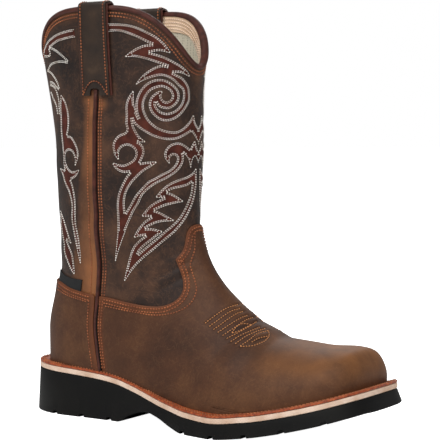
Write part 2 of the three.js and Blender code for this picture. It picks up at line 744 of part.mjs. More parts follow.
const box = new THREE.Box3().setFromObject(boot);
const middle = box.getCenter(new THREE.Vector3());
boot.position.set(-middle.x, -middle.y, -box.min.z);

export default boot;
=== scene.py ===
# A right western work boot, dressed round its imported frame. Shapes are worked out in
# millimetres, with x from the back of the sole and z from the floor, as the boot is laid out.
import math

import bpy
import numpy as np
from mathutils import Matrix, Vector
from mathutils.bvhtree import BVHTree
from mathutils.kdtree import KDTree


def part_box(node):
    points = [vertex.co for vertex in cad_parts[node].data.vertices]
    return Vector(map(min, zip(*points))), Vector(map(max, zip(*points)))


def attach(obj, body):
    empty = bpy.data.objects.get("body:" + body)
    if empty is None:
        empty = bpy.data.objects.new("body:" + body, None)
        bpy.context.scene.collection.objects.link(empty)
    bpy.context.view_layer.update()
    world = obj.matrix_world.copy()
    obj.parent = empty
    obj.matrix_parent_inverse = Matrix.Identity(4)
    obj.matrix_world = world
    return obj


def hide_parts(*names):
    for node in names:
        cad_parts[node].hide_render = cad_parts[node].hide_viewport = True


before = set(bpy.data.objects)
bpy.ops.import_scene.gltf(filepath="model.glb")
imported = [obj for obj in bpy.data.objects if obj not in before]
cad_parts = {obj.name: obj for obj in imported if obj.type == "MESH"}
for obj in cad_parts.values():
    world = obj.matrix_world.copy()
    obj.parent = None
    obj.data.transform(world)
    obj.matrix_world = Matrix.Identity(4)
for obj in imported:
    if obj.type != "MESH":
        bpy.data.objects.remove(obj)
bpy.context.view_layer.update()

# The view. The boot stands on a pale floor under soft studio light, seen from its outer side
# and a little from the toe, from just above the floor.
MM = 0.001
LAYOUT_ORIGIN = np.array((
    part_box("midsole")[0].x,
    (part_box("top_binding")[0].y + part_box("top_binding")[1].y) / 2,
    0.0,
))


def in_row(points):
    """Layout points in millimetres, as points of the row in metres."""
    return np.asarray(points, float) * MM + LAYOUT_ORIGIN


def linear(hex_colour, alpha=1.0):
    """An sRGB hex colour as a linear one."""
    parts = [int(hex_colour[i:i + 2], 16) / 255 for i in (1, 3, 5)]
    return (*[c / 12.92 if c <= 0.04045 else ((c + 0.055) / 1.055) ** 2.4 for c in parts], alpha)


def add_node(material, kind, settings=None, links=None):
    """Add a node, with its fields and sockets set and its inputs linked.

    Sockets go by name or number and colours in hex. A node stands for its first output.
    Textures lie over the piece in its own coordinates, their size in millimetres.
    """
    tree = material.node_tree
    made = tree.nodes.new("ShaderNode" + kind)
    for name, value in (settings or {}).items():
        if name == "size":
            made.inputs["Scale"].default_value = 1 / (value * MM)
        elif name == "stops":
            ramp = made.color_ramp.elements
            while len(ramp) < len(value):
                ramp.new(0.5)
            for stop, (position, colour) in zip(ramp, value):
                stop.position = position
                stop.color = linear(colour)
        elif isinstance(name, int) or name in made.inputs:
            made.inputs[name].default_value = linear(value) if isinstance(value, str) else value
        else:
            setattr(made, name, value)
    if kind in ("TexNoise", "TexVoronoi", "TexWave"):
        place = tree.nodes.new("ShaderNodeTexCoord")
        tree.links.new(place.outputs["Object"], made.inputs["Vector"])
    for name, source in (links or {}).items():
        output = source.outputs[0] if isinstance(source, bpy.types.Node) else source
        tree.links.new(output, made.inputs[name])
    return made


def new_material(name):
    """A material with no nodes yet."""
    material = bpy.data.materials.new(name)
    material.use_nodes = True
    material.node_tree.nodes.clear()
    return material


VIEW_TARGET = (153, 0, 147)
VIEW_AZIMUTH = math.radians(32.4)
VIEW_ELEVATION = math.radians(3.5)
VIEW_ROLL = math.radians(-0.4)
VIEW_DISTANCE = 1.23
camera_data = bpy.data.cameras.new("camera")
camera_data.lens = 130.6
camera_data.shift_x = 0.0389
camera_data.shift_y = 0.0264
camera = bpy.data.objects.new("camera", camera_data)
bpy.context.scene.collection.objects.link(camera)
bpy.context.scene.camera = camera
view_back = Vector((
    math.sin(VIEW_AZIMUTH) * math.cos(VIEW_ELEVATION),
    -math.cos(VIEW_AZIMUTH) * math.cos(VIEW_ELEVATION),
    math.sin(VIEW_ELEVATION),
))
level_right = Vector((math.cos(VIEW_AZIMUTH), math.sin(VIEW_AZIMUTH), 0))
level_up = view_back.cross(level_right)
view_right = level_right * math.cos(VIEW_ROLL) + level_up * math.sin(VIEW_ROLL)
view_up = view_back.cross(view_right)
camera.matrix_world = (
    Matrix.Translation(Vector(in_row(VIEW_TARGET)) + view_back * VIEW_DISTANCE)
    @ Matrix((view_right, view_up, view_back)).transposed().to_4x4()
)

FLOOR_SIZE = 40.0
floor_mesh = bpy.data.meshes.new("floor")
floor_mesh.from_pydata(
    [(x * FLOOR_SIZE / 2, y * FLOOR_SIZE / 2, 0) for x, y in ((-1, -1), (1, -1), (1, 1), (-1, 1))],
    [],
    [(0, 1, 2, 3)],
)
floor = bpy.data.objects.new("floor", floor_mesh)
bpy.context.scene.collection.objects.link(floor)
# Matt paper, lit from behind: even white to the eye, with no gloss.
paper = new_material("matt_paper")
paper_seen = add_node(paper, "LightPath")
paper_surface = add_node(
    paper, "BsdfPrincipled",
    {"Base Color": "#f4f4f3", "Roughness": 1.0, "Specular IOR Level": 0.0,
     "Emission Color": "#ffffff"},
    {"Emission Strength": paper_seen.outputs["Is Camera Ray"]},
)
add_node(paper, "OutputMaterial", {}, {0: paper_surface})
floor_mesh.materials.append(paper)

world = bpy.data.worlds.new("studio")
bpy.context.scene.world = world
world.use_nodes = True
world_light = world.node_tree.nodes["Background"]
world_light.inputs["Color"].default_value = linear("#ffffff")
world_light.inputs["Strength"].default_value = 0.36
# The studio's white wall shows behind the boot and adds no more light than the rest.
world_wall = add_node(world, "Background", {"Color": "#ffffff", "Strength": 1.0})
world_path = add_node(world, "LightPath")
world_mix = add_node(
    world, "MixShader", {},
    {0: world_path.outputs["Is Camera Ray"], 1: world_light, 2: world_wall},
)
world.node_tree.links.new(world_mix.outputs[0], world.node_tree.nodes["World Output"].inputs[0])
bpy.context.scene.view_settings.view_transform = "Standard"


def softbox(name, place, target, size, power):
    """A square area light at a place in metres, turned towards a target."""
    data = bpy.data.lights.new(name, "AREA")
    data.size = size
    data.energy = power
    lamp = bpy.data.objects.new(name, data)
    bpy.context.scene.collection.objects.link(lamp)
    lamp.location = place
    lamp.rotation_euler = (Vector(target) - Vector(place)).to_track_quat("-Z", "Y").to_euler()
    return lamp


BOOT_MIDDLE = (0.0, 0.0, 0.15)
softbox("key_light", (-0.3, -1.3, 1.7), BOOT_MIDDLE, 1.0, 22)
softbox("toe_light", (1.2, -1.0, 1.4), BOOT_MIDDLE, 0.8, 13)
softbox("rim_light", (-0.6, 1.4, 1.2), BOOT_MIDDLE, 1.0, 9)

# The unit sole: one black rubber moulding, heel and forepart together, cemented under the
# midsole. Grooves cross its edges from both sides and leave a band whole along its middle.
SOLE_LENGTH = 306
BALL_WIDTH = 120
HEEL_HEIGHT = 34.8
FOREPART_THICKNESS = 11
TOE_SPRING = 23
ARCH_RISE = 11
SIDE_FLARE = 1.8
TOE_RAKE = 1.6
GAP = 0.3
SIDES = {"lateral": -1, "medial": 1}
LUG_DEPTH = 2.8
LUG_GROOVE = 5
LUG_PITCH = 29
MIDDLE_BAND = 26


def table(columns, rows):
    """A table as one array for each named column."""
    return {name: np.array([row[i] for row in rows], float) for i, name in enumerate(columns.split())}


def cubic(t, step, values, slope, i):
    """A cubic with a slope at each end, from value i to the next as t goes from 0 to 1."""
    return (
        values[i] * (1 + 2 * t) * (1 - t) ** 2
        + slope[i] * step * t * (1 - t) ** 2
        + values[i + 1] * t * t * (3 - 2 * t)
        + slope[i + 1] * step * t * t * (t - 1)
    )


def value_at(rows, column, key, place):
    """One column between a table's rows, on a curve that never swings past a row."""
    keys, values = rows[key], rows[column]
    rise = np.diff(values) / np.diff(keys)
    slope = np.empty_like(values)
    slope[0], slope[-1] = rise[0], rise[-1]
    before, after = rise[:-1], rise[1:]
    turning = before * after <= 0
    slope[1:-1] = np.where(turning, 0, 2 * before * after / np.where(turning, 1, before + after))
    place = np.clip(place, keys[0], keys[-1])
    i = np.clip(np.searchsorted(keys, place, side="right") - 1, 0, len(keys) - 2)
    step = keys[i + 1] - keys[i]
    return cubic((place - keys[i]) / step, step, values, slope, i)


# Half widths beside the sole's long axis, as shares of the ball's width.
OUTLINE = table("at lateral medial", [
    (0.0, 0.27, 0.285),
    (0.12, 0.28, 0.296),
    (0.26, 0.294, 0.296),
    (0.38, 0.33, 0.29),
    (0.48, 0.405, 0.31),
    (0.58, 0.485, 0.36),
    (0.67, 0.53, 0.42),
    (0.75, 0.535, 0.46),
    (0.83, 0.505, 0.47),
    (0.91, 0.46, 0.45),
    (1.0, 0.4, 0.38),
])
HEEL_ROUND = 45
TOE_ROUND = 46
HEEL_SQUARENESS = 2.05
TOE_SQUARENESS = {"lateral": 3.1, "medial": 3.7}
# Side view: rise is a share of the arch or the toe spring, drop of the step down to the forepart.
PROFILE = table("at arch spring drop", [
    (0.0, 0, 0, 0),
    (0.1, 0, 0, 0.04),
    (0.25, 0, 0, 0.16),
    (0.32, 0, 0, 0.28),
    (0.345, 0.42, 0, 0.36),
    (0.38, 0.8, 0, 0.48),
    (0.42, 1, 0, 0.62),
    (0.46, 0.8, 0, 0.74),
    (0.51, 0.3, 0, 0.86),
    (0.555, 0, 0, 0.95),
    (0.635, 0, 0, 1.0),
    (0.74, 0, 0.16, 1.0),
    (0.82, 0, 0.36, 1.0),
    (0.91, 0, 0.65, 1.0),
    (1.0, 0, 1.0, 1.0),
])


def profile(column, x):
    return value_at(PROFILE, column, "at", np.asarray(x, float) / SOLE_LENGTH)


def tread_at(x):
    return ARCH_RISE * profile("arch", x) + TOE_SPRING * profile("spring", x)


def sole_top_at(x):
    step = (FOREPART_THICKNESS - HEEL_HEIGHT) * profile("drop", x)
    return HEEL_HEIGHT + step + TOE_SPRING * profile("spring", x)


def rounded_end(from_tip, depth, squareness):
    """How much of its full width the sole keeps near an end."""
    short = 1 - np.clip(from_tip / depth, 0, 1)
    return (1 - short ** squareness) ** (1 / squareness)


def sole_half_width(x, side):
    return (
        value_at(OUTLINE, side, "at", x / SOLE_LENGTH)
        * BALL_WIDTH
        * rounded_end(x, HEEL_ROUND, HEEL_SQUARENESS)
        * rounded_end(SOLE_LENGTH - x, TOE_ROUND, TOE_SQUARENESS[side])
    )


SOLE_STATIONS = 160
EVEN_SHARE = 0.15


def sole_ring(outset):
    """The outline grown by a distance, as a ring: outer side from heel to toe, then inner side back."""
    even = np.linspace(0, 1, SOLE_STATIONS + 1)
    eased = (1 - np.cos(math.pi * even)) / 2
    xs = SOLE_LENGTH * (EVEN_SHARE * even + (1 - EVEN_SHARE) * eased)
    back_xs = xs[1:-1][::-1]
    ring = np.vstack((
        np.column_stack((xs, -sole_half_width(xs, "lateral"))),
        np.column_stack((back_xs, sole_half_width(back_xs, "medial"))),
    ))
    along = np.roll(ring, -1, axis=0) - np.roll(ring, 1, axis=0)
    along /= np.linalg.norm(along, axis=1)[:, None]
    grow = outset(ring[:, 0])[:, None] if callable(outset) else outset
    return ring + np.column_stack((along[:, 1], -along[:, 0])) * grow


def sole_slab(levels):
    """A closed slab from levels, bottom first: how far each stands out, and its height along x."""
    rings = []
    for outset, height in levels:
        ring = sole_ring(outset)
        rings.append(np.column_stack((ring, height(ring[:, 0]))))
    count = len(rings[0])
    ahead = (np.arange(count) + 1) % count
    faces = []
    for r in range(len(rings) - 1):
        low, high = r * count, (r + 1) * count
        faces += [(low + i, low + ahead[i], high + ahead[i], high + i) for i in range(count)]
    top = (len(rings) - 1) * count
    for i in range(count // 2):
        a, b, c, d = i, i + 1, (count - i - 1) % count, (count - i) % count
        under = [a, d, c, b]
        if a == d:
            under = [a, c, b]
        elif b == c:
            under = [a, d, b]
        faces.append(tuple(under))
        faces.append(tuple(top + k for k in reversed(under)))
    return np.vstack(rings), faces


def build_mesh(name, points, faces, attributes=None):
    """A mesh object in the row from layout points, with float attributes on its points."""
    mesh = bpy.data.meshes.new(name)
    mesh.from_pydata(in_row(points).tolist(), [], [tuple(int(i) for i in face) for face in faces])
    for key, values in (attributes or {}).items():
        attribute = mesh.attributes.new(key, "FLOAT", "POINT")
        attribute.data.foreach_set("value", np.asarray(values, np.float32))
    piece = bpy.data.objects.new(name, mesh)
    bpy.context.scene.collection.objects.link(piece)
    return piece


def finish_piece(piece, material, replaced=(), crease_degrees=35):
    """Smooth shading with crisp edges, a material, and the piece's place on the boot."""
    mesh = piece.data
    mesh.materials.clear()
    mesh.materials.append(material)
    mesh.shade_smooth()
    mesh.set_sharp_from_angle(angle=math.radians(crease_degrees))
    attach(piece, "root")
    if replaced:
        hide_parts(*replaced)
    return piece


def cut_with(piece, tool, operation):
    """Cut a closed piece with another, which is then removed."""
    modifier = piece.modifiers.new("cut", "BOOLEAN")
    modifier.operation = operation
    modifier.solver = "MANIFOLD"
    modifier.object = tool
    depsgraph = bpy.context.evaluated_depsgraph_get()
    result = bpy.data.meshes.new_from_object(piece.evaluated_get(depsgraph))
    piece.modifiers.clear()
    piece.data = result
    bpy.data.objects.remove(tool)
    return piece


def flare_at(x):
    return SIDE_FLARE + TOE_RAKE * profile("spring", x)


SOLE_EDGE = 0.9
outsole = build_mesh("unit_sole", *sole_slab([
    (lambda x: flare_at(x) - SOLE_EDGE, tread_at),
    (lambda x: flare_at(x) - 0.3 * SOLE_EDGE, lambda x: tread_at(x) + 0.3 * SOLE_EDGE),
    (flare_at, lambda x: tread_at(x) + SOLE_EDGE),
    (lambda x: 0.45 * flare_at(x), lambda x: 0.45 * tread_at(x) + 0.55 * sole_top_at(x)),
    (0.0, lambda x: sole_top_at(x) - 0.6),
    (-0.25, lambda x: sole_top_at(x) - 0.15),
    (-0.8, sole_top_at),
]))


def swept_faces(rings, around, closed=False):
    """Faces of a closed section carried along a path, with ends or joined into a loop."""
    faces = []
    for r in range(rings if closed else rings - 1):
        low, high = r * around, (r + 1) % rings * around
        for k in range(around):
            ahead = (k + 1) % around
            faces.append((low + k, low + ahead, high + ahead, high + k))
    if not closed:
        faces.append(tuple(range(around))[::-1])
        faces.append(tuple((rings - 1) * around + k for k in range(around)))
    return faces


HEEL_GROOVES = (0.11, 0.2, 0.29)
FORE_GROOVES_FROM = 0.555
FORE_GROOVES = 5
groove_xs = [at * SOLE_LENGTH for at in HEEL_GROOVES]
groove_xs += [FORE_GROOVES_FROM * SOLE_LENGTH + i * LUG_PITCH for i in range(FORE_GROOVES)]
GROOVE_SIDES = 12
GROOVE_SQUARENESS = 0.6
groove_points = []
groove_faces = []
for groove_x in groove_xs:
    slope = math.atan2(
        float(tread_at(groove_x + LUG_GROOVE) - tread_at(groove_x - LUG_GROOVE)), 2 * LUG_GROOVE
    )
    for side in (-1, 1):
        start = len(groove_points)
        for y in (side * MIDDLE_BAND / 2, side * BALL_WIDTH):
            for k in range(GROOVE_SIDES):
                angle = 2 * math.pi * k / GROOVE_SIDES
                x, z = (
                    math.copysign(abs(part) ** GROOVE_SQUARENESS, part)
                    for part in (math.cos(angle), math.sin(angle))
                )
                across, deep = x * LUG_GROOVE / 2, z * LUG_DEPTH
                groove_points.append((
                    groove_x + across * math.cos(slope) - deep * math.sin(slope),
                    y,
                    float(tread_at(groove_x)) + across * math.sin(slope) + deep * math.cos(slope),
                ))
        for face in swept_faces(2, GROOVE_SIDES):
            face = tuple(start + i for i in face)
            groove_faces.append(face if side < 0 else face[::-1])
groove_tool = build_mesh("sole_grooves", groove_points, groove_faces)
cut_with(outsole, groove_tool, "DIFFERENCE")



def plain(name, skin):
    """A material of one colour."""
    material = new_material(name)
    add_node(material, "OutputMaterial", {}, {0: add_node(material, "BsdfPrincipled", skin)})
    return material


def mottled(name, pattern, colours, skin, relief=None, grain=None):
    """A material whose colour wanders with a pattern, a texture's kind and settings.

    Its relief, a strength and a depth in millimetres, follows the pattern or another grain.
    """
    material = new_material(name)
    shade = add_node(material, *pattern)
    links = {"Base Color": add_node(material, "ValToRGB", {"stops": colours}, {0: shade})}
    if relief:
        strength, depth = relief
        height = add_node(material, *grain) if grain else shade
        links["Normal"] = add_node(
            material, "Bump", {"Strength": strength, "Distance": depth * MM}, {"Height": height}
        )
    surface = add_node(material, "BsdfPrincipled", {"IOR": 1.5, **skin}, links)
    add_node(material, "OutputMaterial", {}, {0: surface})
    return material


# Moulded nitrile rubber: near black and dull, with a faint moulded grain and dusty scuffs.
rubber = mottled(
    "moulded_nitrile_rubber",
    ("TexNoise", {"size": 28, "Detail": 5.0, "Roughness": 0.6}),
    [(0.3, "#080808"), (0.75, "#12110f")],
    {"Roughness": 0.6, "Specular IOR Level": 0.16},
    (0.25, 0.2), ("TexNoise", {"size": 1.2, "Detail": 3.0}),
)
finish_piece(outsole, rubber, ["outsole"])

# The midsole: a tan foam rubber sheet, trimmed flush with the unit sole and left bare at its edge.
MIDSOLE_THICKNESS = 4


def midsole_bottom_at(x):
    return sole_top_at(x) + GAP


def midsole_top_at(x):
    return midsole_bottom_at(x) + MIDSOLE_THICKNESS


midsole = build_mesh("midsole_sheet", *sole_slab([
    (-0.5, midsole_bottom_at),
    (0.0, lambda x: midsole_bottom_at(x) + 0.4),
    (0.1, lambda x: midsole_bottom_at(x) + MIDSOLE_THICKNESS / 2),
    (0.0, lambda x: midsole_top_at(x) - 0.4),
    (-0.5, midsole_top_at),
]))
# Cellular rubber sheet, die cut: pale tan and matt, with a faint fine grain.
crepe = mottled(
    "die_cut_cellular_rubber", ("TexNoise", {"size": 16, "Detail": 4.0}),
    [(0.3, "#c9a68c"), (0.62, "#e6ccb8")], {"Roughness": 0.8},
    (0.3, 0.2), ("TexNoise", {"size": 1.0, "Detail": 4.0}),
)
finish_piece(midsole, crepe, ["midsole"])

# The last's form, which every piece of the upper follows. Sections are planes across the
# boot, each between a front point and a back point, from under the toe to the top line.
WELT_MARGIN = 6.5
UPPER_WALL = 2.4
OVERLAY_THICKNESS = 1.7
COVER = UPPER_WALL + GAP + OVERLAY_THICKNESS
LAST_BACK = WELT_MARGIN + COVER
LAST_LENGTH = SOLE_LENGTH - 2 * LAST_BACK
INSTEP_HEIGHT = 112
SHAFT_HEIGHT = 280
SHAFT_DEPTH = 138
SHAFT_WIDTH = 84
SEAM_SETBACK = 82
FRONT_DIP = 58
BACK_DIP = 46
FOOT_SECTIONS = table("front_x front_rise back_x back_rise lateral medial widest fore aft lean", [
    (0.986, -0.13, 0.86, -0.16, 0.355, 0.35, 0.9, 3.1, 6, 0.01),
    (0.995, 0.0, 0.852, -0.165, 0.363, 0.356, 0.86, 3.1, 6, 0.01),
    (0.9965, 0.1, 0.846, -0.17, 0.37, 0.36, 0.8, 3.0, 6, 0.01),
    (0.989, 0.18, 0.84, -0.18, 0.378, 0.366, 0.74, 2.8, 6, 0.01),
    (0.972, 0.245, 0.835, -0.19, 0.386, 0.372, 0.7, 2.6, 6, 0.01),
    (0.938, 0.28, 0.82, -0.2, 0.398, 0.38, 0.69, 2.45, 6, 0.01),
    (0.885, 0.31, 0.79, -0.21, 0.415, 0.385, 0.69, 2.35, 6, 0.012),
    (0.82, 0.36, 0.74, -0.22, 0.435, 0.38, 0.7, 2.2, 6, 0.016),
    (0.755, 0.41, 0.68, -0.23, 0.44, 0.352, 0.72, 2.1, 5, 0.02),
    (0.7, 0.492, 0.6, -0.24, 0.42, 0.312, 0.74, 2.0, 4, 0.02),
    (0.645, 0.588, 0.48, -0.25, 0.36, 0.27, 0.75, 1.95, 3.4, 0.012),
    (0.59, 0.69, 0.35, -0.26, 0.292, 0.245, 0.72, 1.95, 3, 0.006),
    (0.545, 0.795, 0.2, -0.27, 0.255, 0.235, 0.68, 1.95, 2.8, 0),
    (0.51, 0.905, 0.06, -0.23, 0.242, 0.235, 0.64, 1.95, 2.5, 0),
    (0.488, 1.02, 0.013, -0.03, 0.243, 0.238, 0.62, 1.95, 2.2, 0),
    (0.474, 1.14, 0.012, 0.22, 0.252, 0.248, 0.6, 2.0, 2.1, 0),
    (0.472, 1.28, 0.036, 0.52, 0.27, 0.268, 0.57, 2.0, 2.0, 0),
    (0.476, 1.43, 0.052, 0.83, 0.292, 0.29, 0.545, 2.0, 2.0, 0),
    (0.477, 1.58, 0.044, 1.14, 0.308, 0.308, 0.53, 2.0, 2.0, 0),
])
SHAFT_SECTIONS = table("height ahead behind width fore aft", [
    (0.63, 0.47, 0.438, 0.9, 2.0, 2.0),
    (0.72, 0.47, 0.46, 0.93, 2.0, 2.0),
    (0.8, 0.476, 0.49, 0.96, 2.0, 2.0),
    (0.88, 0.492, 0.517, 0.985, 2.0, 2.0),
    (0.98, 0.5, 0.522, 1.0, 2.0, 2.0),
    (1.08, 0.5, 0.527, 1.0, 2.0, 2.0),
])


def feather_at(x):
    return midsole_top_at(x) + GAP


HEEL_SEAT = float(feather_at(WELT_MARGIN))
TOP_LINE = HEEL_SEAT + SHAFT_HEIGHT
foot_front_x = LAST_BACK + FOOT_SECTIONS["front_x"] * LAST_LENGTH
foot_back_x = LAST_BACK + FOOT_SECTIONS["back_x"] * LAST_LENGTH
shaft_z = HEEL_SEAT + SHAFT_SECTIONS["height"] * SHAFT_HEIGHT
sections = {
    "front_x": np.append(foot_front_x, SEAM_SETBACK + SHAFT_SECTIONS["ahead"] * SHAFT_DEPTH),
    "front_z": np.append(
        feather_at(foot_front_x) + FOOT_SECTIONS["front_rise"] * INSTEP_HEIGHT, shaft_z
    ),
    "back_x": np.append(foot_back_x, SEAM_SETBACK - SHAFT_SECTIONS["behind"] * SHAFT_DEPTH),
    "back_z": np.append(
        feather_at(foot_back_x) + FOOT_SECTIONS["back_rise"] * INSTEP_HEIGHT, shaft_z
    ),
    "lateral": np.append(
        FOOT_SECTIONS["lateral"] * BALL_WIDTH, SHAFT_SECTIONS["width"] * SHAFT_WIDTH / 2
    ),
    "medial": np.append(
        FOOT_SECTIONS["medial"] * BALL_WIDTH, SHAFT_SECTIONS["width"] * SHAFT_WIDTH / 2
    ),
    "widest": np.append(
        FOOT_SECTIONS["widest"],
        SHAFT_SECTIONS["ahead"] / (SHAFT_SECTIONS["ahead"] + SHAFT_SECTIONS["behind"]),
    ),
    "fore": np.append(FOOT_SECTIONS["fore"], SHAFT_SECTIONS["fore"]),
    "aft": np.append(FOOT_SECTIONS["aft"], SHAFT_SECTIONS["aft"]),
    "middle": np.append(FOOT_SECTIONS["lean"] * BALL_WIDTH, 0 * SHAFT_SECTIONS["height"]),
}
front_steps = np.hypot(np.diff(sections["front_x"]), np.diff(sections["front_z"]))
back_steps = np.hypot(np.diff(sections["back_x"]), np.diff(sections["back_z"]))
sections["place"] = np.concatenate(([0], np.cumsum(np.maximum(front_steps, back_steps))))

FORM_ROWS = 800
FORM_SIDE = 160
FORM_COLUMNS = 2 * FORM_SIDE
CURVE_STEPS = 240
form_places = np.linspace(0, sections["place"][-1], FORM_ROWS)
at_place = {name: value_at(sections, name, "place", form_places) for name in sections}


def half_sections(side):
    """Every section's curve on one side, from front to back, evenly spaced round it."""
    angle = np.linspace(0, math.pi, CURVE_STEPS + 1)
    front = angle <= math.pi / 2
    power = 2 / np.where(front, at_place["fore"][:, None], at_place["aft"][:, None])
    reach = np.abs(np.cos(angle)) ** power
    widest = at_place["widest"][:, None]
    along = np.where(front, widest * (1 - reach), widest + (1 - widest) * reach)
    out = np.abs(np.sin(angle)) ** power
    sign = SIDES[side]
    curve = np.stack((
        at_place["front_x"][:, None] + (at_place["back_x"] - at_place["front_x"])[:, None] * along,
        at_place["middle"][:, None] + sign * at_place[side][:, None] * out,
        at_place["front_z"][:, None] + (at_place["back_z"] - at_place["front_z"])[:, None] * along,
    ), axis=2)
    run = np.zeros(curve.shape[:2])
    run[:, 1:] = np.cumsum(np.linalg.norm(np.diff(curve, axis=1), axis=2), axis=1)
    share = np.linspace(0, 1, FORM_SIDE + 1)
    return np.stack([
        np.column_stack([np.interp(share * run[r, -1], run[r], curve[r, :, k]) for k in range(3)])
        for r in range(FORM_ROWS)
    ])


form_points = np.concatenate(
    (half_sections("lateral"), half_sections("medial")[:, -2:0:-1]), axis=1
)


def form_normals(points):
    along = np.gradient(points, axis=0)
    around = np.roll(points, -1, axis=1) - np.roll(points, 1, axis=1)
    normal = np.cross(along, around)
    return normal / np.maximum(np.linalg.norm(normal, axis=2), 1e-9)[:, :, None]


form_normal = form_normals(form_points)
if form_normal[FORM_ROWS // 2, FORM_SIDE // 2, 1] > 0:
    form_normal = -form_normal


# Soft folds that the leather has taken, as segments seen from the side: where each starts and
# ends (x, z), how far it stands out of the form, and its half width.
FOLDS = [
    ((150, 116), (122, 100), -0.7, 3.2),
    ((148, 124), (122, 110), -0.6, 2.6),
    ((144, 133), (118, 122), -0.5, 2.6),
    ((149, 120), (124, 105), 0.5, 2.4),
    ((204, 82), (182, 50), -0.7, 6.0),
    ((217, 78), (196, 42), 0.5, 6.0),
    ((228, 74), (210, 40), -0.5, 6.0),
    ((14, 124), (46, 108), -0.8, 6.5),
    ((12, 140), (44, 128), 0.6, 7.0),
    ((60, 128), (112, 116), -0.6, 8.0),
    ((72, 150), (128, 136), 0.7, 9.0),
    ((56, 168), (104, 158), -0.7, 9.0),
    ((100, 186), (138, 172), -0.6, 9.0),
    ((24, 200), (62, 190), 0.6, 10.0),
    ((96, 220), (140, 212), 0.6, 11.0),
]
side_view = form_points[:, :, (0, 2)]
fold_rise = np.zeros(form_points.shape[:2])
for start, end, rise, half_width in FOLDS:
    run = np.subtract(end, start)
    share = np.clip(((side_view - start) @ run) / (run @ run), 0, 1)
    away = np.linalg.norm(side_view - (np.array(start) + share[:, :, None] * run), axis=2)
    taper = 1 - (2 * share - 1) ** 4 * 0.6
    fold_rise += rise * taper * np.exp(-(away / half_width) ** 2)
form_points = form_points + form_normal * fold_rise[:, :, None]
form_normal = form_normals(form_points) * np.sign(
    np.sum(form_normals(form_points) * form_normal, axis=2)
)[:, :, None]


def sample(lattice, row, column):
    """A value between the points of the form's lattice, whose columns close round the boot."""
    row = np.clip(row, 0, FORM_ROWS - 1.001)
    column = np.mod(column, FORM_COLUMNS)
    r, c = np.floor(row).astype(int), np.floor(column).astype(int)
    u, v = (row - r)[..., None], (column - c)[..., None]
    c, ahead = c % FORM_COLUMNS, (c + 1) % FORM_COLUMNS
    return (
        (lattice[r, c] * (1 - v) + lattice[r, ahead] * v) * (1 - u)
        + (lattice[r + 1, c] * (1 - v) + lattice[r + 1, ahead] * v) * u
    )


def on_form(row, column, growth=0.0):
    """Points over the form, out from its face by a growth."""
    growth = np.asarray(growth, float)
    out = growth[..., None] if growth.ndim else growth
    return sample(form_points, row, column) + sample(form_normal, row, column) * out


section_front = np.column_stack((at_place["front_x"], at_place["front_z"]))
section_run = np.column_stack((at_place["back_x"], at_place["back_z"])) - section_front
column_along = np.einsum(
    "rck,rk->rc", form_points[:, :, (0, 2)] - section_front[:, None], section_run
) / np.sum(section_run ** 2, axis=1)[:, None]


def from_side(x, z, side):
    """Rows and columns of the form's points that lie at x and z on one side of the boot."""
    x, z = np.broadcast_arrays(np.asarray(x, float), np.asarray(z, float))
    flat = np.column_stack((x.ravel(), z.ravel()))
    rows, columns = np.empty(len(flat)), np.empty(len(flat))
    for k, point in enumerate(flat):
        away = point - section_front
        beyond = section_run[:, 0] * away[:, 1] - section_run[:, 1] * away[:, 0]
        along = np.sum(section_run * away, axis=1) / np.sum(section_run ** 2, axis=1)
        crossing = (beyond[:-1] * beyond[1:] <= 0) & (along[:-1] > -0.2) & (along[:-1] < 1.2)
        r = np.argmax(crossing)
        part = beyond[r] / (beyond[r] - beyond[r + 1]) if crossing[r] else 0.0
        rows[k] = r + part
        share = along[r] + (along[r + 1] - along[r]) * part
        here = column_along[r] * (1 - part) + column_along[r + 1] * part
        if side == "lateral":
            columns[k] = np.interp(share, here[:FORM_SIDE + 1], np.arange(FORM_SIDE + 1))
        else:
            inner = np.append(here[FORM_SIDE:], here[0])[::-1]
            columns[k] = FORM_COLUMNS - np.interp(share, inner, np.arange(FORM_SIDE + 1))
    return rows.reshape(x.shape), columns.reshape(x.shape)


def first_row_above(height):
    """For every column, the row where the form first lies above a height that depends on x."""
    over = form_points[:, :, 2] - height(form_points[:, :, 0])
    rows = np.empty(FORM_COLUMNS)
    for c in range(FORM_COLUMNS):
        below = np.nonzero(over[:, c] < 0)[0]
        r = min(below[-1], FORM_ROWS - 2) if len(below) else 0
        rows[c] = r + over[r, c] / (over[r, c] - over[r + 1, c]) if len(below) else 0
    return rows


# The top line dips in front and behind from its height at the side seams.
SCALLOP_SQUARENESS = 3.4
SCALLOP_SWEEP = 0.97


def scallop_drop(reach):
    return 1 - np.sqrt(1 - SCALLOP_SWEEP * reach ** SCALLOP_SQUARENESS)


def top_line_at(x):
    ahead = np.asarray(x, float) > SEAM_SETBACK
    depth = SHAFT_DEPTH * np.where(ahead, SHAFT_SECTIONS["ahead"][-2], SHAFT_SECTIONS["behind"][-2])
    reach = np.clip(np.abs(x - SEAM_SETBACK) / depth, 0, 1)
    return TOP_LINE - np.where(ahead, FRONT_DIP, BACK_DIP) * scallop_drop(reach) / scallop_drop(1)


feather_row = first_row_above(feather_at)
top_row = first_row_above(top_line_at)

# The welt: a strip of veg-tanned leather stitched down round the foot, its top left
# orange-brown. Its inner edge follows the upper.
WELT_THICKNESS = 3
WELT_SKIVED = 1.3


def welt_top_at(x):
    return feather_at(x) + WELT_THICKNESS


